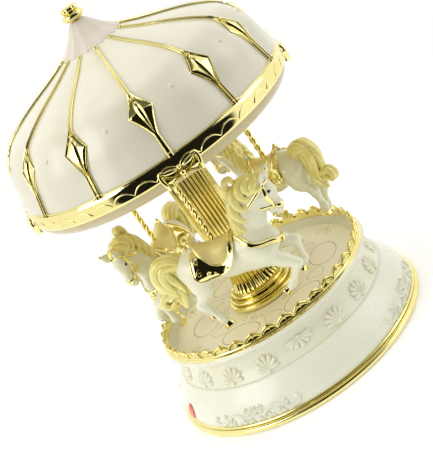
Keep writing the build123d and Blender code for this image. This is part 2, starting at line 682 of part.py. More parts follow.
def horse_body():
    """One horse with its mane and tail, in the horse's frame."""
    neck = limb([(13, 0, -5), (18, 0, 3), (22.5, 0, 8.5), (26.5, 0, 11.5)], [7.0, 5.6, 4.8, 4.2])
    head = limb([(28.2, 0, 12.0), (28.8, 0, 6.0), (28.4, 0, 0.4)], [4.1, 3.8, 2.3])
    mane = limb([(13.5, 0, 3), (14.8, 0, 9.5), (18.2, 0, 14), (25, 0, 15.3), (30, 0, 15)], [2.4, 3.0, 3.2, 2.9, 2.0])
    tail = limb(
        [(-18, 0, -1.5), (-23.5, 0, 1.8), (-26.2, 0, -3.5), (-24.5, 0, -11.0), (-26.0, 0, -18.0)],
        [2.0, 2.6, 3.3, 4.0, 2.8],
    )
    legs = [
        limb([(15, -3, -14), (24.2, -3.2, -22.8), (17.5, -3.2, -29.8), (14.5, -3.2, -30.8)], [4.6, 2.2, 1.5, 2.0]),
        limb([(16, 3, -12), (27.0, 3.2, -16.2), (25.0, 3.2, -26.2), (22.8, 3.2, -28.0)], [4.2, 2.2, 1.5, 2.0]),
        limb([(-13, -3.2, -7), (-18.4, -3.4, -19.5), (-14.2, -3.4, -28.6), (-13.8, -3.4, -31.2)], [5.4, 2.2, 1.5, 2.0]),
        limb([(-14, 3.2, -6), (-19.9, 3.4, -17.5), (-19.9, 3.4, -26.0), (-19.2, 3.4, -28.4)], [5.0, 2.2, 1.5, 2.0]),
    ]
    pole_hole = disc(POLE_RADIUS, -POLE_INSERT, 10.0)
    return joined([trunk(), neck, head, mane, tail, *legs]) - pole_hole


def horse_saddle(body):
    """The gilt saddle, cut to the horse's back, with its raised cantle."""
    seat = trunk(1.0) & block((-12.0, 7.0), (-8.0, 8.0), (-9.5, 8.0))
    cantle = limb([(-10.2, -3.4, 2.2), (-10.2, 0, 3.4), (-10.2, 3.4, 2.2)], [1.3, 1.5, 1.3])
    hollow = disc(POLE_RADIUS, -POLE_INSERT, 10.0)
    saddle = joined([seat, cantle]).cut(body, hollow)
    return saddle.solids().sort_by(SortBy.VOLUME)[-1]


def pole(index):
    """A twisted rod's core, with the collar under the ceiling."""
    rod = disc(POLE_RADIUS, SADDLE_HEIGHTS[index] - POLE_INSERT, POLE_TOP)
    collar = disc(3.2, CEILING_BOTTOM - 1.2, CEILING_BOTTOM)
    return Pos(*horse_place(index), 0) * (rod + collar)


def pole_nuts():
    """The push nuts that hold the poles above the ceiling."""
    nut = ring(3.0, POLE_RADIUS, CEILING_TOP, CEILING_TOP + 2.0)
    return Compound([Pos(*horse_place(i), 0) * nut for i in range(3)])


# ---- output ----
def main():
    os.makedirs("parts", exist_ok=True)
    makers = (
        foot_ring, base_shell, bottom_cover, cover_screws, deck, deck_bushing, thrust_washer, crown_gallery,
        bedplate, bedplate_screws, winding_key, winding_arbor, clutch_spring, spring_barrel, mainspring,
        crown_wheel, drive_shaft, cylinder, comb, comb_screws, governor_bracket, governor, worm_fan,
        stop_button, stop_spring, column_base, column_shaft, canopy_ceiling, rim_band, rim_ornaments,
        canopy_dome, canopy_cap, finial, canopy_ribs, pearl_studs, pole_nuts,
    )
    for maker in makers:
        export_step(maker(), f"parts/{maker.__name__}.step")
    body = horse_body()
    saddle = horse_saddle(body)
    for i in range(3):
        export_step(on_horse(i, body), f"parts/horse_{i + 1}.step")
        export_step(on_horse(i, saddle), f"parts/saddle_{i + 1}.step")
        export_step(pole(i), f"parts/pole_{i + 1}.step")


main()
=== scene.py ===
from math import cos, pi, radians, sin, tau

import bmesh
import bpy
import numpy as np
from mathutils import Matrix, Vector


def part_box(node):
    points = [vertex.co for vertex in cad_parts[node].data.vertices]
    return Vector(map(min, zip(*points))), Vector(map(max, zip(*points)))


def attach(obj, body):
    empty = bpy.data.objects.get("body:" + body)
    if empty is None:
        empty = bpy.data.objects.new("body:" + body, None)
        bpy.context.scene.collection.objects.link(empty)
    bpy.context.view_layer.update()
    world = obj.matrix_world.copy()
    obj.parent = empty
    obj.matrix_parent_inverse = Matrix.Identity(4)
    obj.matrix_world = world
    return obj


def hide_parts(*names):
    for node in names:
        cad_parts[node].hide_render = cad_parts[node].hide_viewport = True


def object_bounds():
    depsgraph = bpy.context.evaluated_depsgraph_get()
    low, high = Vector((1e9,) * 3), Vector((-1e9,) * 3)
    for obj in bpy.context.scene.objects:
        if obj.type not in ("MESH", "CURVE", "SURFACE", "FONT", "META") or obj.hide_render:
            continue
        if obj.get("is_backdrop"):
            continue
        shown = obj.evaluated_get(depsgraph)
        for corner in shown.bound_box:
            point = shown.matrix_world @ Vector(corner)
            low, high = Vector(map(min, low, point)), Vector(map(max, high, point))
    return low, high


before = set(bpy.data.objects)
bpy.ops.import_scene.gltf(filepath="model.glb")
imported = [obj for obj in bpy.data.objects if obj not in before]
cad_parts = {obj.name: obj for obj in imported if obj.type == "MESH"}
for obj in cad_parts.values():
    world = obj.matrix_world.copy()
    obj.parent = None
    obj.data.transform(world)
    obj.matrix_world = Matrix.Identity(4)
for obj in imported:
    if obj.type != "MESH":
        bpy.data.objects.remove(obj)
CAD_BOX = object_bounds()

import openvdb
from mathutils import Matrix, Vector
from mathutils.bvhtree import BVHTree

# The looks of a wind-up carousel music box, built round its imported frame. Shapes are worked out in
# millimetres and written in metres. An azimuth is in degrees, from -Y toward +X, seen from above.
MM = 0.001


def span(node):
    """A frame node's lowest and highest corners, in millimetres."""
    low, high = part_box(node)
    return np.array(low) / MM, np.array(high) / MM


# ---- sizes taken from the frame ----
FOOT_RADIUS = span("foot_ring")[1][0]
FOOT_TOP = span("foot_ring")[1][2]
LEDGE_TOP = span("base_shell")[1][2]
DECK_TOP = span("deck")[1][2]
DECK_RADIUS = span("deck")[1][0]
CROWN_BOTTOM, CROWN_TOP = span("crown_gallery")[0][2], span("crown_gallery")[1][2]
CROWN_RADIUS = span("crown_gallery")[1][0] - 0.6
COLUMN_RADIUS = span("column_shaft")[1][0]
COLUMN_BOTTOM = span("column_shaft")[0][2]
CEILING_BOTTOM = span("canopy_ceiling")[0][2]
BAND_BOTTOM, BAND_TOP = span("rim_band")[0][2], span("rim_band")[1][2]
RIM_RADIUS = span("canopy_dome")[1][0]
DOME_TOP = span("canopy_dome")[1][2]
CAP_TOP = span("finial")[0][2]
TOTAL_HEIGHT = span("finial")[1][2]

RIBS = 12
CROWN_LEAVES = 40
ORNAMENTS = 4

# ---- the horses' places, as in the frame ----
HORSE_CIRCLE = 34.5
FIRST_HORSE_AZIMUTH = -9.0
HORSE_TURNS = (-8.0, 14.0, 6.0)
SADDLE_HEIGHTS = (72.3, 73.0, 67.4)

# ---- the stop button's place, as in the frame ----
BUTTON_AZIMUTH, BUTTON_HEIGHT = -76.0, 8.0


# ---- curves ----
def beside(corner, *steps):
    """Outline points at the given steps from a corner."""
    return [(corner[0] + across, corner[1] + rise) for across, rise in steps]


def smooth(points, per_span=8, closed=False):
    """Points along a smooth curve through the given ones."""
    p = np.asarray(points, float)
    if closed:
        p = np.vstack((p[-1:], p, p[:2]))
    else:
        p = np.vstack((2 * p[:1] - p[1:2], p, 2 * p[-1:] - p[-2:-1]))
    t = np.linspace(0, 1, per_span, endpoint=False)[:, None]
    spans = [
        0.5 * (2 * b + (c - a) * t + (2 * a - 5 * b + 4 * c - d) * t**2 + (3 * b - a - 3 * c + d) * t**3)
        for a, b, c, d in zip(p, p[1:], p[2:], p[3:])
    ]
    return np.vstack(spans if closed else [*spans, p[-2:-1]])


def spread(count, *values):
    """Numbers that run smoothly through the given values."""
    places = np.linspace(0, len(values) - 1, count)
    curve = smooth(np.array(values, float)[:, None], 16)[:, 0]
    return np.interp(places, np.linspace(0, len(values) - 1, len(curve)), curve)


def unit(vectors):
    return vectors / np.maximum(np.linalg.norm(vectors, axis=-1, keepdims=True), 1e-9)


def at_azimuth(azimuth, radius, height):
    """Points about the axis."""
    angle = np.radians(azimuth)
    return np.stack(np.broadcast_arrays(radius * np.sin(angle), -radius * np.cos(angle), height), -1)


class Side:
    """The outer side of a turned piece, given by a line of (radius, height) points that only rises."""

    def __init__(self, points, per_span=16):
        self.line = smooth(points, per_span)
        across = unit(np.gradient(self.line, axis=0))
        self.lean = np.stack((across[:, 1], -across[:, 0]), -1)

    def radius(self, height):
        return np.interp(height, self.line[:, 1], self.line[:, 0])

    def normal(self, azimuth, u, height):
        """The outward direction at those points."""
        angle = np.radians(azimuth) + u / self.radius(height)
        flat, rise = (np.interp(height, self.line[:, 1], self.lean[:, k]) for k in (0, 1))
        return np.stack(np.broadcast_arrays(flat * np.sin(angle), -flat * np.cos(angle), rise), -1)

    def lay(self, azimuth, u, height, out=0.0):
        """Points u to the right of an azimuth, at a height, and so far out from the side."""
        u, height = np.broadcast_arrays(np.asarray(u, float), np.asarray(height, float))
        radius = self.radius(height)
        base = at_azimuth(azimuth + np.degrees(u / radius), radius, height)
        return base + self.normal(azimuth, u, height) * np.asarray(out)[..., None]


# ---- patches: (points, faces) ----
def grid(rows, columns, rows_closed=True, columns_closed=True):
    """Quads over a grid of points."""
    i = np.arange(rows if rows_closed else rows - 1)
    j = np.arange(columns if columns_closed else columns - 1)
    i, j = np.meshgrid(i, j, indexing="ij")
    after_i, after_j = (i + 1) % rows, (j + 1) % columns
    corners = (i * columns + j, i * columns + after_j, after_i * columns + after_j, after_i * columns + j)
    return np.stack(corners, -1).reshape(-1, 4)


def turned(outline, segments=192, warp=None):
    """A closed outline of (radius, height) points turned about Z. warp moves the points, by azimuth."""
    outline = np.asarray(outline, float)
    azimuth = np.linspace(0, 360, segments, endpoint=False)[:, None]
    radius = np.repeat(outline[None, :, 0], segments, 0)
    height = np.repeat(outline[None, :, 1], segments, 0)
    if warp:
        radius, height = warp(azimuth, radius, height)
    return at_azimuth(azimuth, radius, height).reshape(-1, 3), grid(segments, len(outline))


def strand(path, widths, depths=None, up=None, sides=10, loop=False):
    """A closed tube along a path. Its half width may differ from its half depth, which points along up."""
    path = np.asarray(path, float)
    count = len(path)
    widths = np.broadcast_to(np.asarray(widths, float), count)
    depths = widths if depths is None else np.broadcast_to(np.asarray(depths, float), count)
    if loop:
        along = unit(np.roll(path, -1, 0) - np.roll(path, 1, 0))
    else:
        along = unit(np.gradient(path, axis=0))
    if up is None:
        first = np.array((0.0, 0.0, 1.0)) if abs(along[0, 2]) < 0.9 else np.array((1.0, 0.0, 0.0))
        ups = [unit(first - along[0] * (first @ along[0]))]
        for direction in along[1:]:
            ups.append(unit(ups[-1] - direction * (ups[-1] @ direction)))
        up = np.array(ups)
    else:
        up = np.broadcast_to(np.asarray(up, float), (count, 3))
    across = unit(np.cross(along, up))
    up = unit(np.cross(across, along))
    angle = np.linspace(0, tau, sides, endpoint=False)
    points = (
        path[:, None]
        + (widths[:, None] * np.cos(angle))[..., None] * across[:, None]
        + (depths[:, None] * np.sin(angle))[..., None] * up[:, None]
    )
    if not loop:
        first_cap = np.repeat(path[:1, None], sides, 1)
        last_cap = np.repeat(path[-1:, None], sides, 1)
        points = np.concatenate((first_cap, points, last_cap))
    return points.reshape(-1, 3), grid(len(points), sides, loop, True)


def ball(centre, radii, rings=9, segments=14, turn=None):
    """A rounded bead. radii is one number or three."""
    polar = np.linspace(0, pi, rings)[:, None]
    angle = np.linspace(0, tau, segments, endpoint=False)
    across, level = np.sin(polar), np.cos(polar)
    points = np.stack(np.broadcast_arrays(across * np.cos(angle), across * np.sin(angle), level), -1)
    points = points.reshape(-1, 3) * np.asarray(radii, float)
    if turn is not None:
        points = points @ np.asarray(turn).T
    return points + np.asarray(centre, float), grid(rings, segments, False, True)


def bar(low, high, edge=0.15):
    """A flat bar between two corners, with chamfered edges."""
    (x0, y0, z0), (x1, y1, z1) = low, high
    ring = [
        (x0 + edge, y0), (x1 - edge, y0), (x1, y0 + edge), (x1, y1 - edge),
        (x1 - edge, y1), (x0 + edge, y1), (x0, y1 - edge), (x0, y0 + edge),
    ]
    middle_x, middle_y = (x0 + x1) / 2, (y0 + y1) / 2
    levels = ((z0, 0.0), (z0, 1.0), (z1, 1.0), (z1, 0.0))
    points = [
        (middle_x + (x - middle_x) * share, middle_y + (y - middle_y) * share, z) for z, share in levels for x, y in ring
    ]
    return np.array(points), grid(4, 8, False, True)


def sheet(rows):
    """A closed sheet from rows of points that run round it. The first and last rows close to a point."""
    rows = np.asarray(rows)
    first, last = (np.broadcast_to(row.mean(0), row.shape) for row in (rows[0], rows[-1]))
    rows = np.concatenate((first[None], rows, last[None]))
    return rows.reshape(-1, 3), grid(*rows.shape[:2], False, True)


def moved(patch, matrix):
    """A patch moved by a 4x4 matrix in millimetres."""
    points, faces = patch
    m = np.array(matrix, float)
    return points @ m[:3, :3].T + m[:3, 3], faces


class Piece:
    """A mesh put together from patches, each with the number of its material."""

    def __init__(self):
        self.points, self.faces, self.materials, self.count = [], [], [], 0

    def add(self, patch, material=0):
        points, faces = patch
        self.points.append(np.asarray(points, float).reshape(-1, 3))
        self.faces.append(np.asarray(faces) + self.count)
        self.materials += [material] * len(faces)
        self.count += len(self.points[-1])
        return self

    def mesh(self, name, materials, sharp=50):
        """The finished mesh, in metres, with doubled points merged and its normals outward."""
        data = bpy.data.meshes.new(name)
        faces = [face.tolist() for block in self.faces for face in block]
        data.from_pydata((np.vstack(self.points) * MM).tolist(), [], faces)
        for material in materials:
            data.materials.append(material)
        data.polygons.foreach_set("material_index", self.materials)
        work = bmesh.new()
        work.from_mesh(data)
        bmesh.ops.remove_doubles(work, verts=work.verts, dist=2e-6)
        bmesh.ops.dissolve_degenerate(work, edges=work.edges, dist=1e-7)
        bmesh.ops.recalc_face_normals(work, faces=work.faces)
        work.to_mesh(data)
        work.free()
        data.shade_smooth()
        data.set_sharp_from_angle(angle=radians(sharp))
        return data

    def show(self, name, materials, body, slot, *nodes, sharp=50):
        """Finishes the mesh and puts it in the scene."""
        return show(name, self.mesh(name, materials, sharp), body, slot, *nodes)


def show(name, mesh, body, slot, *nodes, matrix=None):
    """A piece in the scene: it rides on a body and stands for frame nodes. slot is not used."""
    made = bpy.data.objects.new(name, mesh)
    bpy.context.scene.collection.objects.link(made)
    if matrix is not None:
        made.matrix_world = matrix
    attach(made, body)
    if nodes:
        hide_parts(*nodes)
    return made


# ---- materials ----
class Tree:
    """The shading nodes of a material or a world."""

    def __init__(self, owner):
        owner.use_nodes = True
        self.nodes, self.links = owner.node_tree.nodes, owner.node_tree.links

    def feed(self, node, **inputs):
        """Links the outputs that are given to a node's inputs, and sets the colours and numbers."""
        for name, value in inputs.items():
            socket = node.inputs[name.replace("_", " ")]
            if isinstance(value, bpy.types.NodeSocket):
                self.links.new(value, socket)
            else:
                socket.default_value = (*value, 1) if isinstance(value, tuple) else value

    def add(self, kind, output, **inputs):
        """The named output of a new node."""
        node = self.nodes.new("ShaderNode" + kind)
        self.feed(node, **inputs)
        return node.outputs[output]

    def mix(self, factor, a, b):
        """A colour between two others."""
        node = self.nodes.new("ShaderNodeMix")
        node.data_type = "RGBA"
        self.feed(node, Factor=factor, A=a, B=b)
        return node.outputs["Result"]


def finish(name, colour, shade, metallic=0.0, roughness=(0.3, 0.4), cloud=60.0, grain=900.0, bump=0.02, hollow_shade_and_dirt=None,
           **gloss):
    """A surface whose colour drifts between colour and shade, with uneven roughness and a fine grain. The colour
    given for the hollows is painted shade, partly dirt, laid into them; gloss holds more of the shader's inputs."""
    material = bpy.data.materials.new(name)
    tree = Tree(material)
    place = tree.add("TexCoord", "Object")

    def noise(scale, detail):
        return tree.add("TexNoise", "Fac", Vector=place, Scale=scale, Detail=detail)

    def between(value, start, end, low=0.0, high=1.0):
        return tree.add("MapRange", "Result", Value=value, From_Min=start, From_Max=end, To_Min=low, To_Max=high)

    tint = tree.mix(between(noise(cloud, 3.0), 0.3, 0.7), colour, shade)
    if hollow_shade_and_dirt is not None:
        # painted shade, partly dirt: the hollows, found by pointiness, take the darker hollow colour
        tint = tree.mix(between(tree.add("NewGeometry", "Pointiness"), 0.5, 0.44), tint, hollow_shade_and_dirt)
    rough = between(noise(cloud * 4, 4.0), 0.3, 0.7, *roughness)
    relief = tree.add("Bump", "Normal", Strength=1.0, Distance=bump * MM, Height=noise(grain, 2.0))
    shader = tree.nodes["Principled BSDF"]
    tree.feed(shader, Base_Color=tint, Metallic=metallic, Roughness=rough, Normal=relief, **gloss)
    return material


# the hollow colour of each finish below is painted shade, partly dirt
CREAM = finish(
    "cream_moulding", (0.86, 0.86, 0.71), (0.84, 0.83, 0.67), roughness=(0.26, 0.34), hollow_shade_and_dirt=(0.50, 0.46, 0.24),
    Coat_Weight=0.3, Coat_Roughness=0.12
)
# painted reflection: a yellower copy of the cream for the cove and its palmettes, standing for gilt light thrown
# into the cove
COVE_PAINTED_REFLECTION = finish(
    "cove_painted_reflection", (0.86, 0.85, 0.67), (0.83, 0.81, 0.61), roughness=(0.26, 0.34), hollow_shade_and_dirt=(0.46, 0.41, 0.18),
    Coat_Weight=0.3, Coat_Roughness=0.12
)
# painted shade: a darker copy of the blush moulding for the ceiling and its skirt, which lie under the rim in
# shade
SKIRT_PAINTED_SHADE = finish(
    "skirt_painted_shade", (0.64, 0.54, 0.29), (0.60, 0.50, 0.25), hollow_shade_and_dirt=(0.5, 0.4, 0.18),
    Coat_Weight=0.2, Coat_Roughness=0.2
)
BLUSH = finish(
    "blush_moulding", (0.80, 0.72, 0.60), (0.76, 0.67, 0.55), roughness=(0.32, 0.42), hollow_shade_and_dirt=(0.52, 0.42, 0.28),
    Coat_Weight=0.15, Coat_Roughness=0.2
)
DOME_SATIN = finish(
    "dome_satin", (0.84, 0.80, 0.64), (0.80, 0.75, 0.58), roughness=(0.28, 0.36), hollow_shade_and_dirt=(0.6, 0.52, 0.32),
    Coat_Weight=0.4, Coat_Roughness=0.22
)
DECK_CREAM = finish(
    "deck_cream", (0.96, 0.91, 0.66), (0.94, 0.87, 0.60), cloud=35.0, Coat_Weight=0.1, Coat_Roughness=0.2
)
LINE_PINK = finish("deck_lines", (0.62, 0.36, 0.24), (0.68, 0.46, 0.32), roughness=(0.4, 0.5), cloud=150.0)
GILT = finish(
    "bright_gilt", (0.94, 0.85, 0.40), (0.90, 0.79, 0.32), metallic=1.0, roughness=(0.04, 0.1), cloud=90.0,
    grain=170.0, bump=0.05, hollow_shade_and_dirt=(0.42, 0.34, 0.06)
)
DEEP_GILT = finish(
    "deep_gilt", (0.96, 0.85, 0.34), (0.92, 0.78, 0.26), metallic=1.0, roughness=(0.06, 0.12), cloud=90.0,
    grain=500.0, bump=0.012, hollow_shade_and_dirt=(0.38, 0.28, 0.05)
)
SATIN_GILT = finish(
    "satin_gilt", (0.93, 0.82, 0.38), (0.88, 0.74, 0.28), metallic=0.45, roughness=(0.4, 0.52), grain=1600.0,
    bump=0.05, hollow_shade_and_dirt=(0.36, 0.27, 0.06)
)
IVORY = finish(
    "ivory_lacquer", (0.88, 0.87, 0.66), (0.84, 0.82, 0.57), roughness=(0.18, 0.28), hollow_shade_and_dirt=(0.66, 0.60, 0.30),
    Coat_Weight=0.5, Coat_Roughness=0.08
)
HAIR = finish(
    "yellow_hair", (0.93, 0.85, 0.34), (0.87, 0.76, 0.22), metallic=0.1, roughness=(0.25, 0.36), cloud=220.0,
    grain=1400.0, bump=0.03, hollow_shade_and_dirt=(0.46, 0.38, 0.10), Coat_Weight=0.35, Coat_Roughness=0.12
)
EYE = finish("dark_eye", (0.02, 0.015, 0.01), (0.04, 0.03, 0.02), roughness=(0.08, 0.15), cloud=900.0)
STEEL = finish(
    "bright_steel", (0.60, 0.60, 0.61), (0.52, 0.52, 0.54), metallic=1.0, roughness=(0.2, 0.35), grain=1500.0
)
BRASS = finish(
    "machined_brass", (0.80, 0.62, 0.30), (0.70, 0.52, 0.22), metallic=1.0, roughness=(0.22, 0.36), grain=1500.0
)
ZINC = finish(
    "cast_zinc", (0.50, 0.50, 0.51), (0.42, 0.42, 0.43), metallic=0.9, roughness=(0.45, 0.6), grain=700.0,
    bump=0.08
)
NYLON = finish("natural_nylon", (0.80, 0.79, 0.74), (0.75, 0.74, 0.68), roughness=(0.45, 0.55))
COVER_WHITE = finish(
    "cover_white", (0.80, 0.79, 0.74), (0.76, 0.74, 0.69), roughness=(0.5, 0.62), grain=1200.0, bump=0.05
)
RED = finish(
    "red_button", (0.75, 0.09, 0.03), (0.65, 0.06, 0.02), roughness=(0.2, 0.3), Coat_Weight=0.4,
    Coat_Roughness=0.1
)
BY_SLOT = {
    "cream": CREAM, "blush_cream": BLUSH, "deck_cream": DECK_CREAM, "cover_white": COVER_WHITE, "gilt": GILT,
    "pearl": DOME_SATIN, "ivory": IVORY, "steel": STEEL, "brass": BRASS, "zinc": ZINC, "nylon": NYLON, "red": RED,
}


# ---- base ----
FOOT_SIDE = Side([(FOOT_RADIUS - 1.9, FOOT_TOP), (56.8, 7.5), (54.6, 12.0), (50.9, 17.3)])
COVE_SIDE = Side([(49.8, 18.0), (47.3, 22.5), (46.3, 26.0), (46.9, 28.7), (48.6, 30.2)])


def build_foot_ring():
    """The gilt ring: a large bead, a dark groove and a small bead."""
    edge = (FOOT_RADIUS, 0.0)
    outline = [
        *smooth(beside(edge, (-0.9, 0.0), (-0.1, 0.7), (0.0, 1.5), (-0.3, 2.3), (-1.1, 2.75))),
        *beside(edge, (-1.6, 2.95)),
        *smooth(beside(edge, (-1.3, 3.15), (-0.95, 3.6), (-1.3, 4.1), (-1.9, FOOT_TOP))),
        *beside(edge, (-4.7, FOOT_TOP), (-4.7, 0.0)),
    ]
    Piece().add(turned(outline, 256)).show("foot_ring_gilt", [GILT], "base", "gilt", "foot_ring")


def build_base_shell():
    """The cream drum, with the hole for the button."""
    lip = smooth([(48.6, 30.2), (49.9, 30.8), (50.1, 31.5), (49.6, LEDGE_TOP)])
    inside = [
        (46.3, LEDGE_TOP), (45.7, 30.6), (DECK_RADIUS, DECK_TOP), (DECK_RADIUS, 27.6), (42.4, 27.6), (42.4, 25.8),
        (44.4, 22.4), (47.4, 18.4), (50.2, 14.5), (52.2, 10.5), (52.5, 8.0), (52.5, 1.2), (54.5, 1.2),
        (54.5, FOOT_TOP),
    ]
    step = [(50.6, 17.75), (50.0, 17.9)]
    shell = Piece().add(turned([*FOOT_SIDE.line, *step, *COVE_SIDE.line, *lip[1:], *inside], 256))
    made = shell.show("base_shell_cream", [CREAM, COVE_PAINTED_REFLECTION], "base", "cream", "base_shell", sharp=60)
    # painted reflection: the cove's outward faces take the yellower copy of the cream
    for face in made.data.polygons:
        outward = face.normal.to_2d() @ face.center.to_2d() > 0
        if outward and COVE_SIDE.line[0, 1] < face.center.z / MM < COVE_SIDE.line[-1, 1]:
            face.material_index = 1

    path = at_azimuth(BUTTON_AZIMUTH, np.linspace(46, 62, 5), BUTTON_HEIGHT)
    through = strand(path, 3.35, up=(0, 0, 1), sides=48)
    cutter = bpy.data.objects.new("cutter", Piece().add(through).mesh("cutter", []))
    bpy.context.scene.collection.objects.link(cutter)
    cut = made.modifiers.new("button_hole", "BOOLEAN")
    cut.operation, cut.object, cut.solver = "DIFFERENCE", cutter, "EXACT"
    bpy.context.view_layer.update()
    holed = bpy.data.meshes.new_from_object(made.evaluated_get(bpy.context.evaluated_depsgraph_get()))
    made.modifiers.clear()
    made.data = holed
    holed.shade_smooth()
    holed.set_sharp_from_angle(angle=radians(60))
    bpy.data.objects.remove(cutter)


def laid_strand(side, azimuth, u, height, widths, depths, out=0.0, sides=8):
    """A strand that follows a side through smooth (u, height) points."""
    line = smooth(np.stack((u, height), -1), 6)
    share = np.linspace(0, 1, len(line))
    wide, deep = (np.interp(share, np.linspace(0, 1, len(sizes)), sizes) for sizes in (widths, depths))
    path = side.lay(azimuth, line[:, 0], line[:, 1], out)
    return strand(path, wide, deep, side.normal(azimuth, line[:, 0], line[:, 1]), sides)


def build_palmettes():
    """Fans of seven petals in the cove, every twenty degrees; every sixth is a hanging shell."""
    piece = Piece()
    petals = ((0, 6.3), (25, 6.2), (-25, 6.2), (50, 5.7), (-50, 5.7), (76, 5.0), (-76, 5.0))
    widths, depths = (0.2, 0.55, 0.95, 1.15, 0.4), (0.3, 0.7, 1.05, 1.0, 0.2)
    for azimuth in range(0, 360, 20):
        root, up, stretch, spreading = (24.9, -1, 0.72, 1.15) if azimuth % 120 == 0 else (19.5, 1, 1.0, 1.0)
        for lean, length in petals:
            bend = radians(lean)
            reach = np.array((0.0, 0.25, 0.55, 0.85, 1.0)) * length
            u = (reach * sin(bend) + np.array((0, 0, 0.1, 0.2, 0.2)) * np.sign(lean)) * spreading
            height = root + up * stretch * reach * cos(bend) - up * 0.012 * reach**2 * abs(sin(bend))
            piece.add(laid_strand(COVE_SIDE, azimuth, u, height, widths, depths))
        piece.add(ball(COVE_SIDE.lay(azimuth, 0.0, root - 0.1 * up, 0.2), (1.1, 1.1, 0.8)))
    # painted reflection: the palmettes take the cove's yellower copy of the cream
    piece.show("palmettes", [COVE_PAINTED_REFLECTION], "base", "cream")


def spiral(centre, radius, start, turns, inner=0.25, count=18):
    """Points (u, height) that wind in to a centre. A negative turn winds the other way."""
    t = np.linspace(0, 1, count)
    angle = radians(start) + tau * turns * t
    reach = radius * (1 - (1 - inner) * t)
    return centre[0] + reach * np.cos(angle), centre[1] + reach * np.sin(angle)


def build_scroll_vines():
    """Four clusters of scrolls and leaves in relief, just above the foot ring."""
    piece = Piece()
    # each small scroll: its place along the stem, its height, its size and the way it winds
    scrolls = ((6.0, 6.2, 1.7, 1), (11.4, 6.4, 1.5, -1), (3.0, 9.3, 1.3, -1), (15.0, 8.2, 1.1, 1))

    def vine(azimuth, u, height, widths, depths):
        piece.add(laid_strand(FOOT_SIDE, azimuth, np.array(u), np.array(height), widths, depths, 0.05))

    for azimuth in (-34, 56, 146, 236):
        for end in (-1, 1):
            # the long stem, which ends in a curl with a ball
            stem = end * np.array((0.0, 4.0, 8.0, 12.5, 16.2, 19.2, 21.0, 20.6))
            rise = (7.4, 7.0, 8.6, 8.2, 5.9, 5.7, 7.3, 8.6)
            vine(azimuth, stem, rise, (0.45, 0.6, 0.6, 0.5, 0.45), (0.8, 0.9, 0.9, 0.8))
            piece.add(ball(FOOT_SIDE.lay(azimuth, end * 19.9, 8.3, 0.3), 0.95))
            for place, height, reach, side in scrolls:
                curl_u, curl_z = spiral((end * place, height), reach, 90, end * side * 1.1)
                vine(azimuth, curl_u[::2], curl_z[::2], (0.5, 0.5, 0.35), (0.8, 0.8, 0.6))
                piece.add(ball(FOOT_SIDE.lay(azimuth, end * place, height, 0.2), 0.6))
            # leaves that droop on to the foot ring
            for place in (2.2, 7.6, 12.8, 17.4):
                for lean in (-0.9, 0.0, 0.9):
                    leaf = [end * place, end * (place + lean * 0.6), end * (place + lean * 1.6)]
                    vine(azimuth, leaf, [6.2, 5.4, 4.6], (0.25, 0.65, 0.2), (0.5, 0.8, 0.3))
        # the leaves that stand up in the middle
        for lean in (-50, -18, 18, 50):
            reach = np.array((0, 1.3, 2.6, 3.4))
            u, height = reach * sin(radians(lean)), 7.6 + reach * cos(radians(lean))
            vine(azimuth, u, height, (0.25, 0.6, 0.65, 0.2), (0.5, 0.8, 0.8, 0.2))
    piece.show("scroll_vines", [CREAM], "base", "cream")


def build_button():
    """The red button, whose face follows the slope of the shell."""
    height, radius, back = BUTTON_HEIGHT, 3.15, 50.6
    turn = radians(BUTTON_AZIMUTH)
    angle = np.linspace(0, tau, 40, endpoint=False)
    # each ring: its share of the radius, and how far its edge sinks from the face; None is the button's back
    rings = []
    for share, sink in ((0.0, 0.0), (0.5, 0.0), (0.85, 0.05), (0.96, 0.2), (1.0, 0.5), (1.0, None), (0.0, None)):
        u, z = radius * share * np.cos(angle), height + radius * share * np.sin(angle)
        out = back + 0 * z if sink is None else FOOT_SIDE.radius(np.maximum(z, FOOT_TOP)) + 0.45 - sink
        rings.append(np.stack((out * sin(turn) + u * cos(turn), -out * cos(turn) + u * sin(turn), z), -1))
    piece = Piece().add((np.array(rings).reshape(-1, 3), grid(len(rings), len(angle), False, True)))
    # the flange, the stem, the web and the finger behind it, laid out along the movement's -X
    inside = Matrix.Rotation(radians(BUTTON_AZIMUTH + 90), 4, "Z")
    for ends, size in (((-50.8, -50.0), 4.2), ((-50.4, -44.0), 2.2)):
        rod = [(x, 0, height) for x in np.linspace(*ends, 4)]
        piece.add(moved(strand(rod, size, up=(0, 0, 1), sides=32), inside))
    web = bar((-44.8, -4.8, height - 2.5), (-43.4, 2.5, 18.1))
    finger = bar((-43.6, -4.8, 16.5), (-36.92, -3.2, 18.1))
    for part in (web, finger):
        piece.add(moved(part, inside))
    piece.show("button_cap", [RED], "stop", "red", "stop_button", sharp=40)


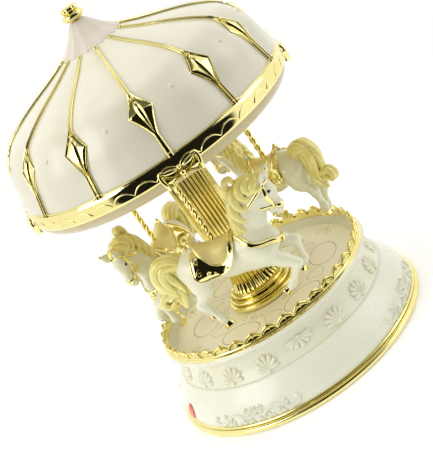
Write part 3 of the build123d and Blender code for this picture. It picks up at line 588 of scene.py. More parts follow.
def build_deck():
    """The deck, with a pattern of fine loops drawn on it."""
    rings = [(radius, DECK_TOP) for radius in (DECK_RADIUS, 40.0, 30.0, 20.0, 12.0, 4.0)]
    floor = Piece().add(turned([(DECK_RADIUS, 27.6), *rings, (4.0, 27.6)], 128))
    floor.show("deck_floor", [DECK_CREAM], "base", "deck_cream", "deck")
    lines = Piece()

    def draw(azimuth, u, r, width=0.22):
        """A fine line through points u to the right of an azimuth and r from the axis."""
        angle = radians(azimuth)
        path = (r * sin(angle) + u * cos(angle), -r * cos(angle) + u * sin(angle), np.full(len(u), DECK_TOP))
        lines.add(strand(np.stack(path, -1), width, 0.06, (0, 0, 1), 6))

    t = np.linspace(0, tau, 48, endpoint=False)
    loop = np.append(t, t[:1])
    reach = np.linspace(-1.5, 1.5, 6)
    for k in range(6):
        azimuth = 60 * k + 22
        draw(azimuth, 9.5 * np.cos(loop), 29.5 + 6.5 * np.sin(loop))
        draw(azimuth + 30, 4.0 * np.cos(loop) * (1 + 0.25 * np.cos(3 * loop)), 27.0 + 4.0 * np.sin(loop), 0.13)
        for side in (-1, 1):
            draw(azimuth + 30, *spiral((side * 3.2, 38.6), 2.4, 90 + side * 90, -side * 1.2), 0.15)
            draw(azimuth, *spiral((side * 2.2, 18.8), 1.7, 90 - side * 90, side * 1.1), 0.13)
        for lean in (-1, 0, 1):
            draw(azimuth + 30, lean * reach * 0.7, 41.0 + reach * (1 - 0.4 * abs(lean)), 0.16)
        for place in range(-2, 3):
            draw(azimuth + 12, place * 1.3 + reach * 0.5, 21.0 + reach, 0.16)
    lines.show("deck_lines", [LINE_PINK], "base", "deck_cream")


def build_crown_gallery():
    """A ring of arched leaves with beads, on a flared gilt foot."""
    columns, rows = 14, 8
    total = CROWN_LEAVES * columns
    valley = CROWN_BOTTOM + 1.5

    def arch(x):
        """A leaf's outline, from 0 at its ends, where x is -1 and 1, to 1 at its tip."""
        return 0.68 * np.sqrt(np.maximum(1 - np.abs(x) ** 2.1, 0)) + 0.32 * (1 - np.abs(x)) ** 1.4

    x = (np.arange(total) % columns) / columns * 2 - 1
    top = valley + (CROWN_TOP - valley) * arch(x)
    share = np.linspace(0, 1, rows)[:, None]
    height = CROWN_BOTTOM + 1.0 + (top - CROWN_BOTTOM - 1.0) * share
    hollow = 0.75 * np.sqrt(np.maximum(1 - x**2, 0)) * np.sin(pi * share**1.3)
    flare = 0.55 * share**1.6
    azimuth = np.arange(total) / total * 360 + 180 / CROWN_LEAVES
    outer = at_azimuth(azimuth, CROWN_RADIUS + flare + 0.25 - hollow, height)
    inner = at_azimuth(azimuth, CROWN_RADIUS - 0.85 + flare - 0.4 * hollow, height)
    points = np.concatenate((outer, inner[::-1])).transpose(1, 0, 2)
    piece = Piece().add((points.reshape(-1, 3), grid(total, 2 * rows)))

    corner = (CROWN_RADIUS, CROWN_BOTTOM)
    foot = smooth(beside(corner, (-0.9, 1.3), (0.2, 1.5), (1.0, 0.8), (1.9, 0.3), (1.95, 0.02)), 5)
    piece.add(turned([*foot, *beside(corner, (-0.9, 0.0))], 240))
    x = np.linspace(-0.93, 0.93, 15)
    for k in range(CROWN_LEAVES):
        azimuth = 360 * (k + 1) / CROWN_LEAVES
        piece.add(ball(at_azimuth(azimuth, CROWN_RADIUS + 0.05, CROWN_BOTTOM + 2.9), (0.6, 0.6, 0.7), 7, 10))
        radius, height = CROWN_RADIUS + 0.15 + 0.4 * arch(x), valley + (CROWN_TOP - valley - 0.3) * arch(x)
        edge = at_azimuth(azimuth + x * 180 / CROWN_LEAVES, radius, height)
        piece.add(strand(edge, 0.34, 0.42, at_azimuth(azimuth, 1.0, 0.0), 8))
    piece.show("crown_leaves", [GILT], "base", "gilt", "crown_gallery")


# ---- column and canopy ----
def build_column():
    """The stepped foot with its fluted bell, and the fluted shaft."""
    bottom, axle, top = span("column_base")[0][2], 2.0, CEILING_BOTTOM

    def fluted(count, depth):
        def warp(azimuth, radius, height):
            groove = (0.5 + 0.5 * np.cos(np.radians(azimuth * count))) ** 1.5
            return np.where(radius > 5, radius - depth * groove, radius), height
        return warp

    steps = [
        (axle, bottom), (15.7, bottom),
        *smooth([(15.9, bottom + 0.3), (16.1, 30.6), (15.9, 31.6), (15.2, 32.0)], 4),
        (14.5, 32.1), *smooth([(14.5, 32.3), (14.95, 32.9), (14.6, 33.7), (13.6, 34.0)], 5), (12.7, 34.1),
        *smooth([(12.6, 34.3), (13.15, 35.0), (12.8, 35.8), (11.8, 36.2)], 5), (10.9, 36.4), (axle, 36.4),
    ]
    side = (COLUMN_RADIUS, 0.0)
    flare = smooth(beside(side, (2.0, 36.3), (1.1, 38.2), (0.4, 41.0), (0.0, COLUMN_BOTTOM)), 5)
    bell = [(axle, 36.3), *flare, (axle, COLUMN_BOTTOM)]
    foot = Piece().add(turned(steps, 128)).add(turned(bell, 240, fluted(30, 0.7)))
    foot.show("column_foot", [DEEP_GILT], "carousel", "gilt", "column_base")

    shaft = [
        (axle, COLUMN_BOTTOM), (COLUMN_RADIUS - 0.3, COLUMN_BOTTOM),
        *((COLUMN_RADIUS, z) for z in np.linspace(46, top - 5, 8)),
        (COLUMN_RADIUS - 0.2, top - 3.6), (axle, top - 3.6),
    ]
    corner = (COLUMN_RADIUS, top)
    capital = [
        (axle, top - 4.2), (COLUMN_RADIUS, top - 4.2),
        *smooth(beside(corner, (0.2, -3.9), (0.9, -3.4), (0.5, -2.7)), 4),
        *smooth(beside(corner, (0.3, -2.4), (0.9, -1.2), (1.8, 0.0)), 4), (axle, top),
    ]
    column = Piece().add(turned(shaft, 320, fluted(32, 0.75))).add(turned(capital, 96))
    column.show("column_flutes", [DEEP_GILT], "carousel", "gilt", "column_shaft")


DOME_SIDE = Side([
    (RIM_RADIUS, BAND_TOP), (57.8, 126.0), (55.4, 134.0), (50.2, 142.0), (44.0, 146.0), (34.6, 150.0),
    (22.3, 154.2), (13.2, DOME_TOP),
])


def panel_swell(azimuth, radius, height):
    """Lets the roof's panels swell a little between the ribs."""
    share = np.clip((height - BAND_TOP) / (DOME_TOP - BAND_TOP), 0, 1)
    between = 1 - np.abs(np.cos(np.radians(azimuth * RIBS / 2))) ** 3
    swell = 1.6 * between * np.sin(pi * share**0.8) ** 0.7
    return radius + swell - 0.25 * (1 - between), height + 0.35 * swell * share


def build_roof():
    """The ceiling with its skirt, the roof shell and its cap."""
    skirt = smooth([(55.0, CEILING_BOTTOM), (57.3, 107.7), (59.1, 109.6), (RIM_RADIUS, BAND_BOTTOM)], 6)
    rest = [(57.5, BAND_BOTTOM), (56.3, 109.2), (55.3, 108.6), (6.0, 108.6), (6.0, CEILING_BOTTOM)]
    ceiling = Piece().add(turned([*skirt, *rest, *((r, CEILING_BOTTOM) for r in (15, 30, 45))], 192))
    t = np.linspace(0, 360, 160, endpoint=False)
    for radius in (16.0, 52.0):
        ceiling.add(strand(at_azimuth(t, radius, CEILING_BOTTOM), 0.5, 0.35, (0, 0, 1), 8, loop=True))
    # painted shade: the ceiling and skirt take the darker copy of the blush moulding
    ceiling.show("canopy_ceiling_skirt", [SKIRT_PAINTED_SHADE], "carousel", "blush_cream", "canopy_ceiling")

    thickness = (2.0, 0.8)
    outline = [*DOME_SIDE.line[::2], (12.5, DOME_TOP + 0.2), *(DOME_SIDE.line[::-6] - thickness)]
    shell = Piece().add(turned(outline, 288, panel_swell))
    shell.show("roof_shell", [DOME_SATIN], "carousel", "pearl", "canopy_dome", sharp=70)

    def pleats(azimuth, radius, height):
        share = np.clip((height - DOME_TOP + 1) / (CAP_TOP - DOME_TOP), 0, 1)
        scallop = np.abs(np.cos(np.radians(azimuth * RIBS / 2))) - 0.6
        fold = 0.09 * radius * scallop * (1 - 0.7 * share)
        hem = np.where(share < 0.1, height + 0.7 * scallop, height)
        return np.where(radius > 2.6, radius - fold, radius), hem

    cone = smooth([(13.6, DOME_TOP - 0.5), (12.6, DOME_TOP + 0.7), (8.6, 162.0), (5.2, 166.0), (2.9, CAP_TOP)], 10)
    cap = Piece().add(turned([*cone, (0, CAP_TOP), (0, DOME_TOP - 2), (12.4, DOME_TOP - 1.4)], 192, pleats))
    cap.show("roof_cap", [BLUSH], "carousel", "blush_cream", "canopy_cap", sharp=70)


def build_finial():
    """The knob: a ball under a crown of little lobes."""
    waist, tip = 172.4, TOTAL_HEIGHT
    low = smooth([(2.3, CAP_TOP), (2.0, CAP_TOP + 0.4), (3.6, 169.2), (4.6, 170.6), (4.1, 171.8), (2.9, waist)], 6)
    high = smooth([(2.9, waist), (3.5, 172.9), (3.75, 173.7), (3.3, 174.5), (1.6, tip - 0.1), (0, tip)], 6)

    def lobes(azimuth, radius, height):
        wave = np.abs(np.sin(np.radians(azimuth * 6)))
        return np.where(height > waist, radius * (0.93 + 0.07 * wave), radius), height

    knob = Piece().add(turned([*low, *high[1:], (0, CAP_TOP)], 144, lobes))
    knob.show("finial_knob", [GILT], "carousel", "gilt", "finial")


BAND_SIDE = Side(beside(
    (RIM_RADIUS, 0.0), (0.55, BAND_BOTTOM), (1.0, 112.7), (1.0, 114.6), (0.7, 117.0), (0.15, BAND_TOP)
))


def build_band():
    """The gilt band with its chased arcs, and the fine border that runs along its top."""
    piece = Piece().add(turned([*BAND_SIDE.line, (57.5, BAND_TOP), (57.5, BAND_BOTTOM)], 256))
    arcs = 40
    width = tau * (RIM_RADIUS + 1) / arcs
    u = np.linspace(-width / 2, width / 2, 7)
    rise = 113.4 + 2.5 * (1 - np.abs(u / (width / 2)) ** 2.2)
    for k in range(arcs):
        azimuth = 360 * (k + 0.5) / arcs
        piece.add(laid_strand(BAND_SIDE, azimuth, u, rise, (0.16, 0.26, 0.3, 0.26, 0.16), (0.24,), 0.05, 8))
    # the border rises to a point at each rib
    t = np.linspace(0, 360, 720, endpoint=False)
    from_rib = (t % 30 + 15) % 30 - 15
    height = BAND_TOP + 0.45 + 0.9 * np.exp(-((from_rib / 1.9) ** 2))
    upper = at_azimuth(t, DOME_SIDE.radius(height) + 0.1, height)
    lower = at_azimuth(t[::3], RIM_RADIUS + 0.25, BAND_BOTTOM + 0.25)
    piece.add(strand(upper, 0.32, 0.45, at_azimuth(t, 1.0, 0.0), 8, loop=True))
    piece.add(strand(lower, 0.3, 0.35, at_azimuth(t[::3], 1.0, 0.0), 8, loop=True))
    piece.show("rim_band_chased", [GILT], "carousel", "gilt", "rim_band")


def build_rim_ornaments():
    """Four bows on the rim: two drooping lobes with rolled edges, and a knot between them."""
    face = RIM_RADIUS + 1.0
    # each roll: its (u, out, height) points, its half widths and its depth
    rolls = (
        # the ear, down the outer side
        ([(5.9, 0.2, 115.6), (7.6, 0.3, 115.0), (7.9, 0.5, 112.8), (7.4, 0.4, 110.4), (7.3, 0.0, 108.3)],
         (0.5, 0.85, 0.95, 0.85, 0.6), 1.2),
        # the lobe's edges, and the one below it
        ([(1.0, 0.2, 113.6), (3.0, 0.7, 113.9), (5.2, 0.8, 114.4), (6.9, 0.5, 115.1)],
         (0.35, 0.95, 0.9, 0.4), 1.0),
        ([(0.6, 0.4, 111.9), (3.0, 0.8, 111.5), (5.4, 0.8, 112.5), (6.9, 0.7, 114.4)],
         (0.45, 0.5, 0.55, 0.5), 0.9),
        ([(0.4, 0.0, 110.7), (2.4, 0.2, 110.2), (4.6, 0.2, 109.2), (6.9, 0.1, 108.6)],
         (0.4, 0.5, 0.55, 0.5), 0.8),
    )
    knot = (
        ((0, 0.1, 113.8), (1.0, 1.5, 1.1)),
        ((0, 0.2, 111.4), (1.35, 1.85, 1.25)),
        ((0, 0.1, 109.7), (0.9, 1.1, 0.8)),
    )

    def at(u, out, z):
        return np.array((u, -face - out + 0.011 * u * u, z))

    piece = Piece()
    for k in range(ORNAMENTS):
        turn = Matrix.Rotation(radians(360 * k / ORNAMENTS), 4, "Z")
        for side in (-1, 1):
            for points, widths, depth in rolls:
                line = smooth([at(u * side, out, z) for u, out, z in points], 6)
                roll = strand(line, spread(len(line), *widths), depth, (0, -1, 0), 10)
                piece.add(moved(roll, turn))
            piece.add(moved(ball(at(4.4 * side, -0.9, 111.6), (3.3, 1.3, 3.0), 11, 18), turn))
        for place, radii in knot:
            piece.add(moved(ball(at(*place), radii), turn))
    piece.show("rim_scrolls", [GILT], "carousel", "gilt", "rim_ornaments")


LOZENGE_LOW, LOZENGE_WIDE, LOZENGE_HIGH = 127.0, 136.3, 142.8


def rib_half_width(height):
    """Half the space between a rib's two beads, which part round the lozenge."""
    plain = np.interp(height, (BAND_TOP, LOZENGE_LOW, LOZENGE_HIGH, DOME_TOP), (0.85, 0.75, 0.5, 0.3))
    rising = np.clip((height - LOZENGE_LOW) / (LOZENGE_WIDE - LOZENGE_LOW), 0, 1)
    falling = np.clip((LOZENGE_HIGH - height) / (LOZENGE_HIGH - LOZENGE_WIDE), 0, 1)
    return plain + 4.5 * np.where(height < LOZENGE_WIDE, rising**1.35, falling**1.15)


def build_ribs():
    """Twelve gilt ribs with lozenges, each with a drop-shaped jewel, and beads where they meet the cap."""
    above = DOME_SIDE.line[:, 1]
    height = np.concatenate((
        np.linspace(BAND_TOP - 0.2, LOZENGE_LOW, 10, endpoint=False), np.linspace(LOZENGE_LOW, LOZENGE_HIGH, 37),
        above[above > LOZENGE_HIGH + 0.4],
    ))
    half = rib_half_width(height)
    swell = np.clip((half - 0.8) / 4.0, 0, 1)
    drop = np.linspace(LOZENGE_LOW + 0.8, LOZENGE_HIGH - 2.6, 22)
    share = np.linspace(0, 1, len(drop))
    drop_wide = 2.3 * share**1.05 * np.sqrt(np.clip(1 - share**4, 0, 1)) + 0.03
    piece = Piece()
    for k in range(RIBS):
        azimuth = 360 * k / RIBS
        up = DOME_SIDE.normal(azimuth, 0, height)
        for side in (-1, 1):
            piece.add(strand(DOME_SIDE.lay(azimuth, side * half, height, 0.25), 0.38, 0.5, up, 8))
        piece.add(strand(DOME_SIDE.lay(azimuth, 0, height, -0.1), half + 0.1, 0.35 + 0.5 * swell, up, 16))
        piece.add(strand(DOME_SIDE.lay(azimuth, 0, height, 0.2), 0.2, 0.36, up, 6))
        up = DOME_SIDE.normal(azimuth, 0, drop)
        piece.add(strand(DOME_SIDE.lay(azimuth, 0, drop, 0.35), drop_wide, 0.25 + 0.75 * drop_wide, up, 20))
        piece.add(ball(DOME_SIDE.lay(azimuth, 0.0, LOZENGE_HIGH - 1.7, 0.6), (0.8, 0.8, 0.6), 7, 10))
        piece.add(ball(DOME_SIDE.lay(azimuth, 0.0, DOME_TOP - 0.5, 0.4), (0.9, 0.9, 0.7), 7, 12))
    piece.show("roof_ribs", [GILT], "carousel", "gilt", "canopy_ribs")


def build_studs():
    """Twelve low domed studs on the panels, each on a fine collar."""
    piece = Piece()
    height = 137.0
    for k in range(RIBS):
        azimuth = 360 * (k + 0.5) / RIBS
        out = DOME_SIDE.normal(azimuth, 0.0, height)
        level = Vector((0, 0, 1)).rotation_difference(Vector(out)).to_matrix()
        centre = DOME_SIDE.lay(azimuth, 0.0, height, 1.0)
        piece.add(ball(centre, (1.25, 1.25, 0.95), 11, 18, level))
        piece.add(ball(centre - out * 0.15, (1.7, 1.7, 0.35), 7, 18, level))
    piece.show("panel_studs", [DOME_SATIN], "carousel", "pearl", "pearl_studs")


def build_poles():
    """Three twisted two-strand poles with their collars."""
    pitch, wire, apart = 7.6, 0.74, 0.55
    flare = smooth(beside((0.0, CEILING_BOTTOM), (1.6, -1.7), (2.3, -1.2), (2.5, -0.6), (3.2, 0.0)), 4)
    collar = [(0.6, CEILING_BOTTOM - 1.6), *flare, (0.6, CEILING_BOTTOM)]
    for k in range(3):
        low, high = span(f"pole_{k + 1}")
        x, y = (low + high)[:2] / 2
        z = np.linspace(low[2], high[2], 130)
        piece = Piece()
        for phase in (0, pi):
            turn = tau * z / pitch + phase
            helix = np.stack((x + apart * np.cos(turn), y + apart * np.sin(turn), z), -1)
            piece.add(strand(helix, wire, sides=9))
        piece.add(moved(turned(collar, 48), Matrix.Translation((x, y, 0))))
        piece.show(f"pole_{k + 1}_twist", [DEEP_GILT], "carousel", "gilt", f"pole_{k + 1}")


# ---- horses, in their own frame: x is forward and the pole meets the back at the origin ----
def both(*limbs):
    """Limbs on the right side, and the same on the left."""
    flip = np.array((1, -1, 1))
    return [limb for a, b, *rest in limbs for limb in ((a, b, *rest), (a * flip, b * flip, *rest))]


# each limb: its ends, its radii there, and how flat it is from side to side
TRUNK_LIMBS = [
    ((-14.0, 0, -4.9), (-9.0, 0, -5.6), 6.7, 7.3, 0.78),
    ((-9.0, 0, -5.6), (2.0, 0, -7.9), 7.3, 7.8, 0.74),
    ((2.0, 0, -7.9), (12.0, 0, -9.6), 7.8, 8.6, 0.70),
    ((12.0, 0, -9.6), (18.2, 0, -9.0), 8.6, 5.6, 0.68),
    *both(
        ((-12.5, -2.7, -6.0), (-14.4, -3.2, -11.0), 5.0, 4.2, 1.0),
        ((12.5, -2.8, -7.5), (15.0, -3.2, -12.5), 5.2, 4.3, 1.0),
    ),
    ((13.0, 0, -5.0), (18.0, 0, 3.0), 7.2, 5.7, 0.60),
    ((18.0, 0, 3.0), (22.5, 0, 8.5), 5.7, 4.7, 0.60),
    ((22.5, 0, 8.5), (27.0, 0, 11.5), 4.7, 3.9, 0.68),
]
LEG_LIMBS = [
    # near fore, bent under
    ((15.0, -3.0, -14.0), (20.0, -3.2, -18.8), 4.2, 2.9, 0.85),
    ((20.0, -3.2, -18.8), (24.0, -3.3, -22.6), 2.9, 2.1, 0.9),
    ((24.0, -3.3, -22.6), (18.0, -3.3, -29.2), 1.75, 1.3, 1.0),
    ((17.8, -3.3, -29.4), (17.2, -3.3, -29.8), 1.7, 1.6, 1.0),
    ((17.2, -3.3, -29.8), (15.6, -3.3, -30.5), 1.35, 1.5, 1.0),
    # far fore, raised
    ((16.0, 3.0, -11.5), (22.0, 3.2, -13.8), 4.2, 2.9, 0.85),
    ((22.0, 3.2, -13.8), (26.8, 3.3, -16.2), 2.9, 2.2, 0.9),
    ((26.8, 3.3, -16.2), (25.6, 3.3, -24.8), 1.75, 1.3, 1.0),
    ((25.4, 3.3, -25.2), (25.2, 3.3, -25.7), 1.75, 1.6, 1.0),
    ((25.2, 3.3, -25.7), (24.0, 3.3, -27.1), 1.35, 1.5, 1.0),
    # near hind
    ((-13.0, -3.3, -9.0), (-13.6, -3.5, -14.0), 5.0, 3.6, 0.85),
    ((-13.6, -3.5, -14.0), (-18.2, -3.5, -19.3), 3.4, 1.9, 0.9),
    ((-18.9, -3.5, -18.9), (-18.0, -3.5, -20.6), 1.6, 1.9, 0.9),
    ((-18.2, -3.5, -19.8), (-14.5, -3.5, -28.0), 1.75, 1.3, 1.0),
    ((-14.4, -3.5, -28.4), (-14.2, -3.5, -29.0), 1.75, 1.6, 1.0),
    ((-14.2, -3.5, -29.0), (-13.6, -3.5, -30.4), 1.35, 1.5, 1.0),
    # far hind
    ((-13.6, 3.3, -8.0), (-15.0, 3.5, -12.6), 5.0, 3.5, 0.85),
    ((-15.0, 3.5, -12.6), (-19.7, 3.5, -17.2), 3.4, 1.9, 0.9),
    ((-20.4, 3.5, -16.8), (-19.6, 3.5, -18.4), 1.6, 1.9, 0.9),
    ((-19.8, 3.5, -17.6), (-20.1, 3.5, -25.2), 1.75, 1.3, 1.0),
    ((-20.1, 3.5, -25.6), (-20.0, 3.5, -26.2), 1.75, 1.6, 1.0),
    ((-20.0, 3.5, -26.2), (-19.4, 3.5, -27.5), 1.35, 1.5, 1.0),
]
HEAD_LIMBS = [
    ((27.8, 0, 12.4), (28.9, 0, 8.0), 3.7, 3.4, 0.78),
    ((28.9, 0, 8.0), (29.4, 0, 2.4), 3.3, 2.2, 0.80),
    ((29.4, 0, 2.4), (28.9, 0, -0.4), 2.3, 2.2, 0.88),
    ((26.4, 0, 5.0), (26.6, 0, 0.2), 1.9, 1.25, 0.95),
    *both(
        ((26.6, -1.3, 7.6), (26.5, -1.3, 5.6), 2.9, 2.6, 0.75),
        ((30.3, -2.0, 9.6), (29.8, -2.1, 8.4), 1.1, 1.0, 0.8),
        ((29.9, -1.3, 0.2), (29.5, -1.4, -0.4), 1.0, 0.9, 1.0),
    ),
]
EAR_LIMBS = both(
    ((29.9, -1.9, 13.6), (31.7, -2.7, 15.2), 1.9, 1.75, 0.62),
    ((31.7, -2.7, 15.2), (33.6, -3.3, 17.2), 1.75, 0.3, 0.62),
)
# hollows: the mouth, the nostrils, the eye sockets and the ears' cups
HOLLOWS = [
    ((27.6, -4.0, -0.6), (27.3, 4.0, -1.4), 0.5, 0.5, 1.0),
    *both(
        ((31.0, -1.7, -0.2), (30.7, -1.9, 0.3), 0.45, 0.3, 1.0),
        ((30.2, -3.25, 8.9), (29.8, -3.3, 8.6), 0.55, 0.5, 1.0),
        ((31.9, -3.9, 14.6), (33.2, -4.2, 16.2), 1.0, 0.4, 0.8),
    ),
]
MANE_LIMBS = [
    ((12.6, 0, 1.0), (14.2, 0, 7.0), 2.2, 3.0, 0.9),
    ((14.2, 0, 7.0), (17.0, 0, 12.6), 3.0, 3.4, 0.9),
    ((17.0, 0, 12.6), (22.5, 0, 14.8), 3.4, 3.1, 0.95),
    ((22.5, 0, 14.8), (29.0, 0, 15.2), 3.1, 1.7, 0.95),
]


class Field:
    """A block of distances to a soft union of limbs, sampled on a grid of points."""

    FAR = 5.0

    def __init__(self, points, corner, step):
        self.points, self.corner, self.step = points, corner, step
        self.value = np.full(points.shape[:3], self.FAR, np.float32)

    @classmethod
    def block(cls, low, high, step):
        """An empty field between two corners."""
        axes = [np.arange(a, b, step, dtype=np.float32) for a, b in zip(low, high)]
        return cls(np.stack(np.meshgrid(*axes, indexing="ij"), -1), np.array(low, float), step)

    def distance(self, limb):
        a, b, ra, rb, flat = limb
        a, b = np.array(a, np.float32), np.array(b, np.float32)
        way = b - a
        share = np.clip((self.points - a) @ way / max(way @ way, 1e-6), 0, 1)
        offset = self.points - a - share[..., None] * way
        offset[..., 1] /= flat
        return np.sqrt((offset**2).sum(-1)) - (ra + share * (rb - ra))

    def meet(self, other, blend):
        """How much two surfaces are drawn together where they run close."""
        return np.maximum(blend - np.abs(self.value - other), 0) ** 2 / (4 * blend)

    def merge(self, other, blend):
        self.value = np.minimum(self.value, other) - self.meet(other, blend)

    def join(self, limbs, blend):
        for limb in limbs:
            self.merge(self.distance(limb), blend)
        return self

    def carve(self, limbs, blend):
        for limb in limbs:
            other = -self.distance(limb)
            self.value = np.maximum(self.value, other) + self.meet(other, blend)
        return self

    def patch(self):
        """The surface, as quads."""
        volume = openvdb.FloatGrid(self.FAR)
        volume.copyFromArray(np.ascontiguousarray(np.clip(self.value, -self.FAR, self.FAR)))
        points, quads = volume.convertToQuads()
        return points * self.step + self.corner, quads


def hoof(top, tip, forward):
    """A flared hoof from the pastern to its flat sole."""
    top, tip, forward = (np.array(v, float) for v in (top, tip, forward))
    path = top + (tip - top) * np.array((0, 0.12, 0.3, 0.7, 0.97, 1.0))[:, None]
    return strand(path, (1.35, 1.65, 1.6, 1.95, 2.15, 2.0), (1.45, 1.8, 1.75, 2.2, 2.45, 2.3), forward, 16)


def chain(points, radii, flat=0.9):
    """Limbs that follow a smooth path, with radii that run through the given ones."""
    path = smooth(points, 3)
    thick = spread(len(path), *radii)
    return [(a, b, ra, rb, flat) for a, b, ra, rb in zip(path, path[1:], thick, thick[1:])]


def tail_locks():
    """Locks of the tail, which arch up, fall in an S and end in a curl."""
    middle = smooth([
        (-16.5, 0, -2.6), (-20.0, 0, 1.2), (-24.4, 0, 1.7), (-26.3, 0, -2.2), (-25.2, 0, -7.5), (-23.4, 0, -12.5),
        (-24.8, 0, -18.8),
    ], 2)
    across = np.cross(unit(np.gradient(middle, axis=0)), (0, 1, 0))
    share = np.linspace(0, 1, len(middle))
    envelope = np.interp(share, (0, 0.15, 0.4, 0.65, 0.85, 1), (0.35, 0.85, 1.0, 1.15, 0.95, 0.3))
    # each lock's place in the bundle: outward from the middle line, and to one side
    places = (
        (-2.9, 0.0), (-1.6, -1.9), (-1.6, 1.9), (0.3, -2.3), (0.3, 2.3), (2.1, -1.5), (2.1, 1.5), (3.2, 0.0),
    )
    for k, (out, side) in enumerate(places):
        wave = 0.5 * np.sin(share * 7 + 1.9 * k)
        path = middle + across * ((out + wave) * envelope)[:, None]
        path[:, 1] += side * envelope
        shorter = (0, 2, 1, 3)[k % 4]
        yield chain(path[:len(path) - shorter], (0.9, 1.5, 1.6, 1.6, 1.5, 1.2, 0.4))
    yield chain(middle, (1.6, 2.6, 2.6, 2.8, 2.6, 1.8, 0.6))
    for side, reach in ((-0.9, 2.9), (0.9, 2.6)):
        curl_x, curl_z = spiral((-29.9, -12.9), reach, 20, 1.0, 0.75, 16)
        curl = np.stack((curl_x, np.full(len(curl_x), side), curl_z), -1)
        yield chain([(-25.4, side, -6.5), (-25.2, side, -10.0), *curl[1::3]], (1.3, 1.5, 1.4, 1.2, 0.8))


def mane_locks():
    """Locks that fall from the crest down each side of the neck, and curl at their ends."""
    crest = smooth([
        (28.4, 0, 15.4), (24.0, 0, 17.0), (18.6, 0, 15.6), (14.6, 0, 11.4), (12.4, 0, 6.0), (11.4, 0, 1.2),
    ], 10)
    lengths = (3.6, 4.6, 6.4, 8.0, 9.0, 9.4, 8.8, 7.6)
    for side in (-1, 1):
        for k, droop in enumerate(lengths):
            share = k / (len(lengths) - 1)
            start = crest[int(k * (len(crest) - 1) / (len(lengths) - 1))]
            lean, bow, curl = -2.6 + 3.4 * share, -1.7 + 0.7 * share, 0.7 + 0.3 * share
            steps = (
                (0.2, 0.6, -0.6),
                (bow * 0.6, 2.0, -0.4),
                (lean * 0.3 + bow, 3.1, -droop * 0.36),
                (lean * 0.8 + bow * 0.6, 3.5, -droop * 0.72),
                (lean + 0.6, 3.4, -droop),
                (lean + 2.3 * curl, 3.2, -droop + 0.1),
                (lean + 2.8 * curl, 3.2, -droop + 1.6 * curl),
            )
            yield chain(start + np.array(steps) * (1, side, 1), (1.1, 1.6, 1.6, 1.35, 1.1, 0.9, 0.5), 0.8)
    # the tuft that stands up behind the ears, and the forelock
    for side in (-0.7, 0.7):
        tuft = [(16.6, 12.5), (15.6, 16.6), (16.8, 19.6), (19.0, 19.7), (19.6, 17.9)]
        yield chain([(x, side, z) for x, z in tuft], (1.8, 1.5, 1.2, 1.0, 0.6))
        yield chain([(28.0, side, 15.6), (30.4, side * 0.8, 16.0), (32.2, side * 0.6, 14.4)], (1.3, 1.1, 0.5))


def build_horse_mesh():
    """One horse: its lacquered body, hair, hooves and eyes. Also returns its surface, to lay tack on."""
    step = 0.42
    body = Field.block((-23, -9.5, -33.5), (34.5, 9.5, 19), step)
    for limbs, blend in ((TRUNK_LIMBS, 3.2), (LEG_LIMBS, 1.6), (HEAD_LIMBS, 1.4), (EAR_LIMBS, 0.8)):
        body.join(limbs, blend)
    body.carve(HOLLOWS, 0.5)
    skin = body.patch()
    piece = Piece().add(skin)
    mane = Field.block((7, -6.5, -10), (36, 6.5, 22.5), step * 0.9).join(MANE_LIMBS, 2.5)
    tail = Field.block((-36, -6, -25), (-13, 6, 7), step * 0.9)
    for hair, locks in ((mane, mane_locks()), (tail, tail_locks())):
        for lock in locks:
            hair.merge(Field(hair.points, hair.corner, hair.step).join(lock, 0.3).value, 0.35)
        piece.add(hair.patch(), 1)
    for top, tip, forward in (
        ((15.9, -3.3, -30.4), (13.6, -3.3, -31.3), (0, 0, -1)),
        ((24.2, 3.3, -26.9), (22.6, 3.3, -28.7), (0.6, 0, -0.6)),
        ((-13.7, -3.5, -30.2), (-13.2, -3.5, -32.9), (1, 0, 0)),
        ((-19.6, 3.5, -27.2), (-18.9, 3.5, -29.8), (1, 0, 0)),
    ):
        piece.add(hoof(top, tip, forward), 2)
    for side in (-1, 1):
        piece.add(ball((30.0, 2.75 * side, 8.8), (0.75, 0.55, 0.75), 9, 14), 3)
    points, faces = skin
    surface = BVHTree.FromPolygons(points.tolist(), faces.tolist())
    return piece.mesh("horse", [IVORY, HAIR, GILT, EYE], sharp=80), surface


